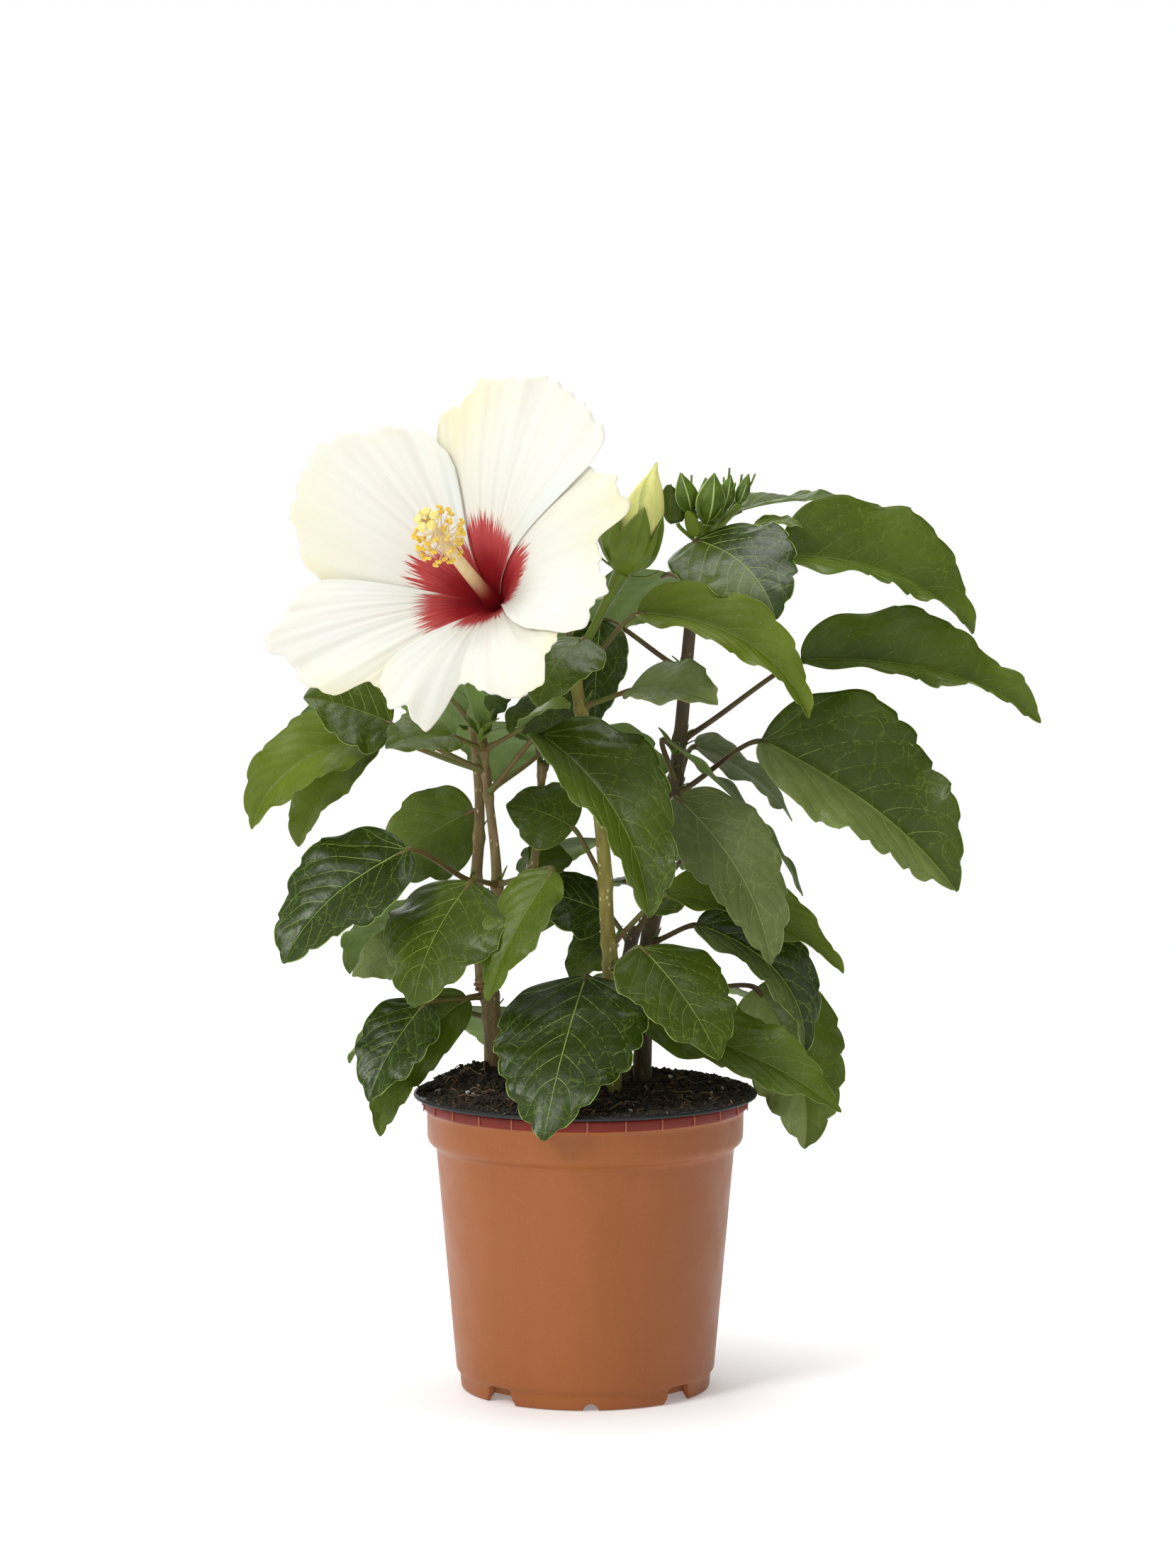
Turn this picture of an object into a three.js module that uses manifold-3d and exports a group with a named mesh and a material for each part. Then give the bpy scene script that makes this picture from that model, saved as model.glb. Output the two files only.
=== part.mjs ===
// Potted hibiscus shrub: nursery pot with its dark liner and soil, woody stems, leaf masses,
// one open bloom, a bud about to open and a cluster of young buds. Millimetres, +Z up,
// origin at the middle of the pot's foot. Compass angles: 0 = +X, 90 = +Y (behind), 270 = front.

import * as THREE from 'three';
import Module from 'manifold-3d';
import { mergeVertices } from 'three/addons/utils/BufferGeometryUtils.js';

const wasm = await Module();
wasm.setup();

// ---- driving dimensions -------------------------------------------------------------

const clear = 0.3;            // gap left between neighbouring pieces
const leafThick = 1.1;
const sharpTurn = 1.2;        // radians past which a petiole rounds its corner into the blade
const petalThick = 1.2;
const bractThick = 0.7;

const pot = {
  height: 110, foot: 47.1, step: 6.6, base: 48.5, top: 56,
  collar: 59.2, collarLow: 92.9, collarHigh: 105.5, band: 61.2,
  wall: 1.8, floor: 3, pad: 22, channel: 3,
  notches: 4, notchWide: 11, notchHigh: 6.4, turned: 2.5, scallop: 2.8, hole: 3.5, holeAt: 34, sides: 30,
};
const liner = { lip: 64.5, lipThick: 1.5, wall: 1.0, foot: 12 };
const soil = { level: 110.8, heap: 9, heapAt: [-34, 8], heapWide: 16, rough: 1.3, bottom: 16, rim: 56 };

// Each stem: end radii and the points it grows through; a later stem makes room for earlier ones.
const stems = {
  stem_left: { radius: [3.9, 3.4], knot: 5.0, path: [[-34, 8, 112], [-35, 7, 137], [-37, 6, 153]] },
  stem_left_rear: {
    radius: [2.7, 1.6],
    path: [[-39, 8, 154], [-40, 10, 172], [-41, 12, 189], [-40, 13, 206], [-40, 14, 226], [-43, 14, 255]],
  },
  stem_left_front: {
    radius: [2.5, 1.3],
    path: [[-34, 4, 154], [-33, 2, 170], [-33, 0, 190], [-34, -1, 205], [-37, -2, 231], [-38, -2, 247]],
  },
  stem_left_side: {
    radius: [2.1, 1.4],
    path: [[-33, 3, 162], [-30, 6.5, 168], [-26, 8, 178], [-20, 12, 193], [-18, 13, 207], [-16, 14, 234]],
  },
  stem_middle: {
    radius: [3.5, 2.2],
    path: [
      [11, 0, 104], [10, -2, 152], [8, -4, 177], [7, -6, 200], [4, -9, 225], [-4, -12, 268], [-6, -13, 275],
    ],
  },
  stem_dark: {
    radius: [3.6, 2.0],
    path: [
      [21, 24, 104], [24, 24, 165], [30, 24, 188], [33, 24, 216], [36, 22, 246], [40, 18, 291], [44, 14, 320],
    ],
  },
  stem_dark_low: { radius: [2.6, 1.8], path: [[14, 15, 104], [15, 16, 153], [19, 15, 172]] },
};

// Leaf masses. Each springs from one node, `at` height on its stem. A leaf is written
// [petiole length, compass, rise,  blade length, width, compass, pitch,  droop, roll, fold].
const masses = {
  leaves_top_right: { stem: 'stem_dark', at: 309, leaves: [
    [12, -100, 47, 62, 50, -55, -8, 48, 24, 7], [24, 35, 50, 60, 32, 40, 11, 25, 0, 15],
    [25, 2, 34, 19, 13, -8, 12, 40, 14, 15]] },
  leaves_right_upper: { stem: 'stem_dark', at: 295, leaves: [[35, 4, 23, 83, 54, 6, -2, 52, 46, 41]] },
  leaves_right_middle: { stem: 'stem_dark', at: 242, leaves: [[54, 3, 33, 99, 44, 8, 1, 40, 46, 41]] },
  leaves_right_lower: { stem: 'stem_dark', at: 219, leaves: [
    [40, -20, 32, 95, 72, -9, -26, 22, 46, 34], [26, 66, 40, 50, 38, 14, -24, 35, 20, 10]] },
  leaves_under_bud: { stem: 'stem_middle', at: 267, leaves: [
    [36, -29, 43, 79, 32, -19, -4, 72, 45, 39], [20, -75, 50, 35, 32, -129, -24, 60, -10, 0]] },
  leaf_grey: { stem: 'stem_middle', at: 256, leaves: [[21, -20, 19, 40, 34, -33, 4, 20, 25, 20]] },
  leaf_by_bloom: { stem: 'stem_dark', at: 267, leaves: [[38, -169, 30, 41, 24, -100, -61, 40, 0, 10]] },
  leaves_heart: { stem: 'stem_left_front', at: 223, leaves: [
    [31, 28, 34, 31, 40, 76, 58, 10, -10, 5], [34, -38, 41, 89, 50, -45, -26, 60, 14, 34]] },
  leaves_centre: { stem: 'stem_dark', at: 210, leaves: [[33, -87, 23, 76, 36, -43, -34, 55, 34, 18]] },
  leaf_centre_dark: { stem: 'stem_dark', at: 227, leaves: [[23, -106, 46, 80, 22, 1, -38, 28, 0, 10]] },
  leaves_light: { stem: 'stem_middle', at: 168, leaves: [[29, -13, 41, 74, 30, -5, -9, 40, 38, 35]] },
  leaf_round: { stem: 'stem_middle', at: 156, leaves: [[34, -70, 20, 55, 45, -47, -33, 30, 10, 6]] },
  leaf_curled: { stem: 'stem_dark', at: 161, leaves: [[24, -39, 21, 71, 30, -16, -17, 80, 42, 34]] },
  leaves_low_right: { stem: 'stem_dark', at: 138, leaves: [
    [32, -92, -6, 84, 33, -19, -12, 27, 42, 26], [43, 9, 5, 69, 41, -46, -43, 55, 49, 8]] },
  leaf_front: { stem: 'stem_middle', at: 144, leaves: [[19, -126, 29, 81, 56, -101, -25, 45, 0, 0]] },
  leaves_left_front: { stem: 'stem_left_front', at: 189, leaves: [
    [42, -59, 12, 54, 27, -146, -50, 30, -20, 14], [22, -115, 8, 55, 52, -136, -41, 35, -10, 0]] },
  leaf_left_wide: { stem: 'stem_left_rear', at: 189, leaves: [
    [40, -132, 23, 65, 46, -163, -25, 38, -36, 12]] },
  leaf_left_behind: { stem: 'stem_left_rear', at: 206, leaves: [
    [30, 95, 15, 50, 40, 171, -28, 28, -58, 0]] },
  leaf_left_pale: { stem: 'stem_left_rear', at: 167, leaves: [
    [20, 172, -5, 32, 28, 176, -16, 30, -40, 5]] },
  leaves_low_left: { stem: 'stem_left', at: 147, leaves: [
    [27, -153, -3, 44, 31, -142, -42, 25, -25, 12], [9, -154, 0, 66, 24, -157, -33, 48, -60, 20]] },
  leaves_far_left: { stem: 'stem_left_front', at: 232, leaves: [
    [44, -176, 18, 60, 33, -166, -13, 66, -46, 26], [42, 174, 16, 51, 30, -172, -37, 50, -42, 26],
    [40, -164, 27, 36, 42, -162, 24, 12, -50, 12]] },
  leaves_young: { stem: 'stem_left_front', at: 240, leaves: [
    [16, -136, 20, 33, 26, -137, 4, 25, -30, 15], [7, -104, 35, 31, 16, -127, 74, 20, -20, 20],
    [18, -30, 28, 26, 20, -37, 39, 50, 20, 15]] },
  leaf_inner_high: { stem: 'stem_middle', at: 191, leaves: [
    [22, 157, 55, 28, 28, 165, 28, 25, -60, 0]] },
  leaf_inner_small: { stem: 'stem_left_side', at: 193, leaves: [
    [8, 98, 18, 17, 24, 13, 10, 20, 30, 10]] },
  leaf_inner: { stem: 'stem_dark_low', at: 166, leaves: [[14, 150, 45, 36, 34, -170, 24, 30, -40, 0]] },
  leaf_inner_right: { stem: 'stem_dark_low', at: 170, leaves: [
    [12, -40, 50, 27, 18, -12, 28, 10, 40, 10]] },
  leaf_inner_low: { stem: 'stem_middle', at: 160, leaves: [
    [28, 92, 10, 21, 26, -172, -38, 20, -30, 10]] },
};

// Rear masses: leaves fan out evenly about the compass given, with a seeded wander.
// [name, stem, at, compass, count, rise, blade length]
const rearMasses = [
  ['rear_high_left', 'stem_left_rear', 250, 128, 2, 48, 62],
  ['rear_high_side', 'stem_left_side', 230, 78, 2, 50, 64],
  ['rear_high_middle', 'stem_middle', 272, 92, 1, 55, 70],
  ['rear_high_dark', 'stem_dark', 298, 90, 2, 8, 52],
  ['rear_mid_dark', 'stem_dark', 190, 96, 2, 20, 56],
  ['rear_mid_middle', 'stem_dark', 180, 130, 1, 20, 64],
  ['rear_mid_left', 'stem_left_rear', 180, 106, 2, 4, 50],
  ['rear_low_left', 'stem_left', 138, 130, 2, 10, 44],
  ['rear_low_dark', 'stem_dark', 142, 66, 2, 10, 62],
  ['rear_low_middle', 'stem_dark_low', 135, 102, 1, 14, 62],
];
const rear = {
  spread: 62, wander: 16, petiole: [18, 12], slim: 0.66, pitch: -14, pitchVary: 16, droop: [42, 26],
  roll: 18, fold: 8,
};
const crown = { low: [-130, -82, 70], high: [175, 112, 350] };   // the space that leaves keep to

const bloom = {
  root: [-33, -25, 296], axis: [-0.315, -0.87, 0.38],
  profile: [[3, 0], [10, 18], [30, 36], [67, 46]],         // radius and rise of the funnel's curve
  // each petal: the turn of its middle about the axis, the phase of its ruffle, and its outline as
  // turn and reach, from the side that lies in front round to the side behind
  petals: [
    { turn: 66, phase: 0.3, edge: [[31, 0.93], [39, 1.04], [50, 1.05], [63, 1.068], [75, 1.028],
      [87, 0.965], [99, 0.88]] },
    { turn: 139, phase: 1.7, edge: [[94, 0.73], [104, 0.885], [120, 0.97], [135, 1.042], [151, 1.018],
      [167, 0.952], [183, 0.8]] },
    { turn: 208, phase: 2.9, edge: [[179, 0.82], [187, 0.955], [198, 1.065], [209, 1.025], [220, 1.005],
      [231, 0.85], [244, 0.81]] },
    { turn: 280, phase: 4.1, edge: [[231, 0.77], [243, 0.9], [260, 0.965], [268, 0.72], [285, 0.87],
      [303, 0.915], [327, 0.77]] },
    { turn: 352, phase: 5.3, edge: [[311.6, 0.56], [325, 0.86], [342, 0.945], [356, 0.86], [371, 1.007],
      [383, 0.985], [397, 0.87]] },
  ],
  claw: 0.72, overlap: 0.65, stack: 2.2, ruffle: 1.5, disc: [4.6, 1.5],   // disc: radius and half depth
  column: { radius: [2.7, 2.0], length: 60, bend: 4.7, head: 8, stamens: 14, anther: 2.1, pads: 5 },
  calyx: { length: 24, radius: 8.5, lobe: 7 },
};
const bud = { base: [12, -14, 304], tip: [25.5, -10, 346], width: 17, cup: 10, bracts: 5, bractLong: 17 };
const budCluster = {
  foot: [44, 14, 321.5], width: 10.4, bracts: 3, bractLong: 13,
  heads: [[[45, 12, 326], [47, 9, 343]], [[37, 12, 328], [34, 9, 344]], [[52, 14, 327], [55, 14, 342]],
    [[57, 17, 329], [62, 19, 344]]],
};

// ---- small helpers ------------------------------------------------------------------

const vec = (a) => new THREE.Vector3(...a);
const rad = THREE.MathUtils.degToRad;
const mix = THREE.MathUtils.lerp;

// Seeded chance between 0 and 1: the fraction of a large multiple of a sine.
function chance(seed, k) {
  const x = Math.sin(seed * 12.9898 + k * 78.233) * 43758.5453;
  return x - Math.floor(x);
}

// Unit vector from a compass angle and a rise above the level.
function heading(compass, rise) {
  const c = rad(compass);
  const e = rad(rise);
  return new THREE.Vector3(Math.cos(c) * Math.cos(e), Math.sin(c) * Math.cos(e), Math.sin(e));
}

function solidOf(points, triangles) {
  const vertProperties = new Float32Array(points.flatMap((p) => [p.x, p.y, p.z]));
  const triVerts = new Uint32Array(triangles);
  return new wasm.Manifold(new wasm.Mesh({ numProp: 3, vertProperties, triVerts }));
}

function solidFromGeometry(geometry) {
  const bare = geometry.clone();
  bare.deleteAttribute('normal');
  bare.deleteAttribute('uv');
  const merged = mergeVertices(bare, 1e-4);
  return new wasm.Manifold(new wasm.Mesh({
    numProp: 3,
    vertProperties: new Float32Array(merged.attributes.position.array),
    triVerts: new Uint32Array(merged.index.array),
  }));
}

function geometryOf(solid) {
  const mesh = solid.getMesh();
  const geometry = new THREE.BufferGeometry();
  geometry.setAttribute('position', new THREE.BufferAttribute(new Float32Array(mesh.vertProperties), 3));
  geometry.setIndex(new THREE.BufferAttribute(new Uint32Array(mesh.triVerts), 1));
  geometry.computeVertexNormals();
  return geometry;
}

const join = (solids) => solids.reduce((a, b) => a.add(b));

// Only the largest closed body of a joined piece is kept: slivers left by a cut are dropped.
function largest(solid) {
  const parts = solid.decompose();
  return parts.reduce((a, b) => (b.volume() > a.volume() ? b : a));
}

// Closed tube through the path's points: one ring of `sides` corners to each point.
function tubeSolid(path, radii, sides, grow = 0) {
  const points = [];
  const triangles = [];
  const across = new THREE.Vector3(0.31, 0.95, 0.08);
  for (let i = 0; i < path.length; i += 1) {
    const ahead = path[Math.min(i + 1, path.length - 1)].clone().sub(path[Math.max(i - 1, 0)]).normalize();
    across.addScaledVector(ahead, -across.dot(ahead)).normalize();
    const side = new THREE.Vector3().crossVectors(ahead, across);
    for (let j = 0; j < sides; j += 1) {
      const turn = (j / sides) * 2 * Math.PI;
      const r = radii[i] + grow;
      points.push(path[i].clone().addScaledVector(across, r * Math.cos(turn))
        .addScaledVector(side, r * Math.sin(turn)));
    }
  }
  const last = (path.length - 1) * sides;
  for (let j = 0; j < sides; j += 1) {
    const k = (j + 1) % sides;
    for (let i = 0; i < last; i += sides) {
      triangles.push(i + j, i + k, i + sides + k, i + j, i + sides + k, i + sides + j);
    }
    if (j > 0 && j < sides - 1) {
      triangles.push(0, k, j, last, last + j, last + k);
    }
  }
  return solidOf(points, triangles);
}

// Closed shell from a grid of points and their upward directions: a sheet of even thickness.
// Rows run from the root to the edge and columns across; a row of equal points closes to one.
function sheetSolid(rows, ups, thick, pointed) {
  const points = [];
  const index = [];
  rows.forEach((row, i) => {
    const single = pointed && (i === 0 || i === rows.length - 1);
    index.push(row.map((p, j) => {
      if (single && j > 0) return points.length - 2;
      points.push(p.clone().addScaledVector(ups[i][j], thick / 2));
      points.push(p.clone().addScaledVector(ups[i][j], -thick / 2));
      return points.length - 2;
    }));
  });
  const triangles = [];
  const face = (a, b, c) => {
    if (a !== b && b !== c && a !== c) triangles.push(a, b, c);
  };
  const quad = (a, b, c, d) => {
    face(a, b, c);
    face(a, c, d);
  };
  const n = rows.length - 1;
  const m = rows[0].length - 1;
  for (let i = 0; i < n; i += 1) {
    for (let j = 0; j < m; j += 1) {
      const [a, b, c, d] = [index[i][j], index[i + 1][j], index[i + 1][j + 1], index[i][j + 1]];
      quad(a, b, c, d);
      quad(d + 1, c + 1, b + 1, a + 1);
    }
    quad(index[i][0], index[i][0] + 1, index[i + 1][0] + 1, index[i + 1][0]);
    quad(index[i + 1][m], index[i + 1][m] + 1, index[i][m] + 1, index[i][m]);
  }
  if (!pointed) {
    for (let j = 0; j < m; j += 1) {
      quad(index[0][j + 1], index[0][j + 1] + 1, index[0][j] + 1, index[0][j]);
      quad(index[n][j], index[n][j] + 1, index[n][j + 1] + 1, index[n][j + 1]);
    }
  }
  return solidOf(points, triangles);
}

// ---- stems --------------------------------------------------------------------------

for (const stem of Object.values(stems)) {
  stem.curve = new THREE.CatmullRomCurve3(stem.path.map(vec), false, 'catmullrom', 0.5);
  stem.line = stem.curve.getPoints(60);
}

// The point on a stem at a height, with the radius there.
function onStem(name, height) {
  const stem = stems[name];
  const i = stem.line.findIndex((p) => p.z >= height);
  const k = i < 0 ? stem.line.length - 1 : i;
  return { point: stem.line[k].clone(), radius: mix(...stem.radius, k / 60) };
}

function stemSolid(name, grow = 0) {
  const stem = stems[name];
  const steps = stem.path.length + 2;
  const path = stem.curve.getPoints(steps);
  const radii = path.map((_, i) => mix(...stem.radius, i / steps));
  if (stem.knot) {
    radii[steps] = stem.knot;
    radii[steps - 1] = mix(stem.knot, stem.radius[1], 0.4);
  }
  if (grow) {
    const tipward = path[steps].clone().sub(path[steps - 1]).setLength(grow);
    path[steps].add(tipward);
    path[0].z -= grow;
  }
  return tubeSolid(path, radii, 7, grow);
}

// ---- leaves -------------------------------------------------------------------------

// Half width along a blade, 0 to 1: a rounded base, widest at a third, drawn out to the tip.
const outline = { base: 0.47, tip: 0.88 };
function halfWidth(s) {
  const peak = outline.base / (outline.base + outline.tip);
  const most = peak ** outline.base * (1 - peak) ** outline.tip;
  return (s ** outline.base * (1 - s) ** outline.tip) / most;
}

// A blade's rows: the midrib sets out at a pitch and droops ever faster towards the tip,
// the halves lift by the fold, the whole rolls about the midrib, and the sides cup slightly.
function bladeRows(base, leaf, stations, columns) {
  const [, , , length, width, compass, pitch, droop, roll, fold] = leaf;
  const rows = [];
  const ups = [];
  const point = base.clone();
  const level = heading(compass + 90, 0);
  const fine = 24;
  let step = 0;
  for (const s of stations) {
    while (step < s * fine) {
      const middle = (step + 0.5) / fine;
      point.addScaledVector(heading(compass, pitch - droop * middle ** 1.6), length / fine);
      step += 1;
    }
    const along = heading(compass, pitch - droop * s ** 1.6);
    const above = new THREE.Vector3().crossVectors(along, level);
    const across = level.clone().multiplyScalar(Math.cos(rad(roll)));
    across.addScaledVector(above, Math.sin(rad(roll)));
    const up = new THREE.Vector3().crossVectors(along, across);
    const half = (halfWidth(s) * width) / 2;
    rows.push(columns.map((t) => point.clone()
      .addScaledVector(across, t * half * Math.cos(rad(fold)))
      .addScaledVector(up, half * (Math.abs(t) * Math.sin(rad(fold)) - 0.1 * t * t))));
    ups.push(columns.map(() => up));
  }
  return { rows, ups };
}

const stations = [0, 1 / 12, 1 / 4, 5 / 12, 7 / 12, 19 / 24, 1];
const wideColumns = [-1, -0.5, 0, 0.5, 1];
const plainColumns = [-1, 0, 1];

// True where a blade comes within a millimetre of a stem or leaves the crown's space.
function misplaced(rows) {
  return rows.flat().some((p) => {
    const outside = p.x < crown.low[0] || p.y < crown.low[1] || p.z < crown.low[2]
      || p.x > crown.high[0] || p.y > crown.high[1] || p.z > crown.high[2];
    const touching = Object.values(stems).some((stem) => stem.line.some(
      (q, i) => q.distanceTo(p) < mix(...stem.radius, i / 60) + leafThick / 2 + 0.2,
    ));
    return outside || touching;
  });
}

// Petiole and the first of the midrib: a sagging tube whose root is sunk in the spur, and which
// rounds the corner where the blade turns sharply from it.
function petioleSolid(root, base, rows) {
  const middle = root.clone().lerp(base, 0.5);
  middle.z -= root.distanceTo(base) * 0.035;
  const rib = rows[1][(rows[1].length - 1) / 2].clone();
  const turn = base.clone().sub(middle).angleTo(rib.clone().sub(base));
  const rounded = new THREE.QuadraticBezierCurve3(middle, base, rib).getPoint(0.6);
  const bend = turn > sharpTurn ? rounded : base.clone();
  return tubeSolid([root.clone(), middle, bend, rib], [1.3, 1.1, 1.1, 0.9], 3);
}

function massSolid(mass) {
  const { point, radius } = onStem(mass.stem, mass.at);
  const mean = new THREE.Vector3();
  for (const leaf of mass.leaves) mean.add(heading(leaf[1], 0));
  mean.normalize();
  const spur = [0.5, 1.8, 4.2].map((d) => point.clone().addScaledVector(mean, radius + d));
  const pieces = [tubeSolid(spur, [1.4, 1.7, 1.0], 5)];
  for (const leaf of mass.leaves) {
    const base = point.clone().addScaledVector(heading(leaf[1], leaf[2]), leaf[0]);
    const columns = leaf[4] >= 40 && !leaf[9] ? wideColumns : plainColumns;
    const { rows, ups } = bladeRows(base, leaf, stations, columns);
    if (!misplaced(rows)) {
      pieces.push(sheetSolid(rows, ups, leafThick, true));
      pieces.push(petioleSolid(spur[1], base, rows));
    }
  }
  return largest(join(pieces).subtract(stemSolid(mass.stem, clear)));
}

// The leaves of a rear mass, fanned about its compass with a seeded wander in every growth value.
function rearLeaves([, , at, compass, count, rise, length], seed) {
  const leaves = [];
  for (let k = 0; k < count; k += 1) {
    const roll = (n) => chance(seed * 7 + k, n) - 0.5;
    const turn = compass + rear.spread * (k - (count - 1) / 2) + rear.wander * roll(1);
    const blade = length * (1 + 0.2 * roll(2));
    leaves.push([
      rear.petiole[0] + rear.petiole[1] * (roll(3) + 0.5), turn, rise + 12 * roll(4),
      blade, blade * rear.slim, turn + rear.wander * roll(5),
      rear.pitch + rear.pitchVary * roll(6), rear.droop[0] + rear.droop[1] * roll(7),
      rear.roll * 2 * roll(8), rear.fold,
    ]);
  }
  return leaves;
}

// ---- bloom --------------------------------------------------------------------------

const bloomAxis = vec(bloom.axis).normalize();
const bloomRight = new THREE.Vector3(1, 0, 0).addScaledVector(bloomAxis, -bloomAxis.x).normalize();
const bloomUp = new THREE.Vector3().crossVectors(bloomAxis, bloomRight);
const bloomFrame = new THREE.Matrix4().makeBasis(bloomRight, bloomUp, bloomAxis).setPosition(vec(bloom.root));
const inBloom = (r, turn, z) => new THREE.Vector3(r * Math.cos(turn), r * Math.sin(turn), z)
  .applyMatrix4(bloomFrame);

// Radius and rise along the funnel: a cubic Bezier of the four profile points.
function funnel(q) {
  const w = [(1 - q) ** 3, 3 * q * (1 - q) ** 2, 3 * q * q * (1 - q), q ** 3];
  return [0, 1].map((k) => w.reduce((sum, x, i) => sum + x * bloom.profile[i][k], 0));
}

// A point on a petal: s runs from the claw to the edge, t from its front side to the side behind.
// It fans out from the claw, wider behind, and is raised off the funnel along the funnel's normal.
function petalPoint({ turn, phase, edge }, s, t) {
  const x = ((t + 1) / 2) * (edge.length - 1);
  const k = Math.max(0, Math.min(Math.floor(x), edge.length - 2));
  const [margin, reach] = [0, 1].map((i) => mix(edge[k][i], edge[k + 1][i], x - k));
  const off = margin - turn;
  const fan = off < 0 ? mix(bloom.claw, 1, Math.sin((Math.PI / 2) * Math.min(s, 1)))
    : 1 + bloom.overlap * (1 - s);
  const place = off / Math.abs(edge[off < 0 ? 0 : edge.length - 1][0] - turn);
  const raised = bloom.ruffle * s * s * Math.sin(3.2 * place + phase)
    - bloom.stack * place * mix(0.25, 1, s);
  const [r, z] = funnel(s * reach);
  const [r1, z1] = funnel(s * reach + 0.01);
  const step = Math.hypot(r1 - r, z1 - z);
  return inBloom(r - ((z1 - z) / step) * raised, rad(turn + off * fan), z + ((r1 - r) / step) * raised);
}

function petalSolid(petal) {
  const along = [0, 0.12, 0.28, 0.46, 0.64, 0.82, 1];
  const across = [-1, -0.67, -0.33, 0, 0.33, 0.67, 1];
  const rows = along.map((s) => across.map((t) => petalPoint(petal, s, t)));
  const d = 0.01;
  const ups = along.map((s) => across.map((t) => {
    const ds = petalPoint(petal, s + d, t).sub(petalPoint(petal, s - d, t));
    const dt = petalPoint(petal, s, t + d).sub(petalPoint(petal, s, t - d));
    return ds.cross(dt).normalize();
  }));
  return sheetSolid(rows, ups, petalThick, false);
}

function corollaSolid() {
  const [radius, half] = bloom.disc;
  const disc = tubeSolid([inBloom(0, 0, -half), inBloom(0, 0, half)], [radius, radius], 10);
  return largest(join([disc, ...bloom.petals.map(petalSolid)]));
}

// A small eight-sided grain, turned to its place, for anthers and stigma pads.
function grainSolid(centre, size) {
  const grain = new THREE.OctahedronGeometry(size, 0);
  grain.translate(...centre.toArray());
  return solidFromGeometry(grain);
}

function columnSolid() {
  const { radius, length, bend, head, stamens, anther, pads } = bloom.column;
  const around = (out, turn, z) => inBloom(out, turn, z)
    .addScaledVector(bloomUp, bend * (z / length) ** 1.6);   // the column bends up a little
  const steps = 7;
  const path = [];
  const radii = [];
  for (let i = 0; i <= steps; i += 1) {
    path.push(around(0, 0, mix(1.8, length + head * 0.9, i / steps)));
    radii.push(mix(...radius, i / steps));
  }
  const pieces = [tubeSolid(path, radii, 7)];
  for (let k = 0; k < stamens; k += 1) {
    const up = (k + 0.5) / stamens;
    const turn = k * 2.4;
    const out = head * Math.sin(Math.PI * mix(0.24, 0.8, up));
    const foot = around(radii[steps] * 0.4, turn, length - head + up * head * 1.6);
    const tip = around(out, turn, length - head + up * head * 2);
    pieces.push(tubeSolid([foot, tip], [0.55, 0.5], 3), grainSolid(tip, anther));
  }
  for (let k = 0; k < pads; k += 1) {
    const turn = (k / pads) * 2 * Math.PI;
    const tip = around(4.2, turn, length + head * 1.5);
    const foot = around(0.6, turn, length + head * 0.7);
    pieces.push(tubeSolid([foot, tip], [0.6, 0.6], 4), grainSolid(tip, anther));
  }
  return largest(join(pieces));
}

// Closed cup from rings of points: an outer wall, a lobed rim, an inner wall, both ends on the axis.
function cupSolid(profile, frame, lobes, sides) {
  const points = [];
  const triangles = [];
  profile.forEach(([r, z, lobe]) => {
    for (let j = 0; j < sides; j += 1) {
      const turn = (j / sides) * 2 * Math.PI;
      const tooth = Math.abs(((j * lobes) / sides) % 1 - 0.5) * 2;
      points.push(new THREE.Vector3(r * Math.cos(turn), r * Math.sin(turn), z + (lobe || 0) * tooth)
        .applyMatrix4(frame));
    }
  });
  const last = (profile.length - 1) * sides;
  for (let j = 0; j < sides; j += 1) {
    const k = (j + 1) % sides;
    for (let i = 0; i < last; i += sides) {
      triangles.push(i + j, i + k, i + sides + k, i + j, i + sides + k, i + sides + j);
    }
    if (j > 0 && j < sides - 1) triangles.push(0, k, j, last, last + j, last + k);
  }
  return solidOf(points, triangles);
}

function stalk(from, to, sag, radii) {
  const middle = from.clone().lerp(to, 0.5);
  middle.z -= sag;
  return tubeSolid(new THREE.QuadraticBezierCurve3(from, middle, to).getPoints(3),
    [0, 1, 2, 3].map((i) => mix(...radii, i / 3)), 5);
}

// The room that the calyx leaves for the foot of the corolla.
function corollaRoom() {
  const [radius, half] = bloom.disc;
  const path = [inBloom(0, 0, -half - clear), inBloom(0, 0, half), inBloom(0, 0, 12)];
  return tubeSolid(path, [radius + clear, radius + 1.8, 12], 12);
}

function bloomCalyxSolid() {
  const { length, radius, lobe } = bloom.calyx;
  const cup = cupSolid([
    [1.5, -length], [radius * 0.7, -length * 0.7], [radius, -length * 0.25], [radius + 1.6, 3, lobe],
    [radius + 0.8, 3, lobe], [radius - 1.2, -0.8], [5.2, -1.9], [0.4, -1.9],
  ], bloomFrame, 5, 20);
  const top = onStem('stem_middle', 275).point;
  const foot = inBloom(0, 0, -length + 1);
  return largest(cup.add(stalk(top.clone().add(vec([0, 1.2, 1.2])), foot, 3, [1.4, 1.6]))
    .subtract(stemSolid('stem_middle', clear)).subtract(corollaRoom()));
}

// ---- buds ---------------------------------------------------------------------------

// A spindle between two points: its radius follows a half sine whose widest place is moved
// towards the root, and ends fine.
function spindleSolid(from, to, width, sides, grow = 0) {
  const rings = 5;
  const path = [];
  const radii = [];
  for (let i = 0; i <= rings; i += 1) {
    const s = i / rings;
    path.push(from.clone().lerp(to, s));
    radii.push(Math.max(0.5, (width / 2) * Math.sin(Math.PI * Math.min(1, s + 0.12) ** 0.85)));
  }
  return tubeSolid(path, radii, sides, grow);
}

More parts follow.
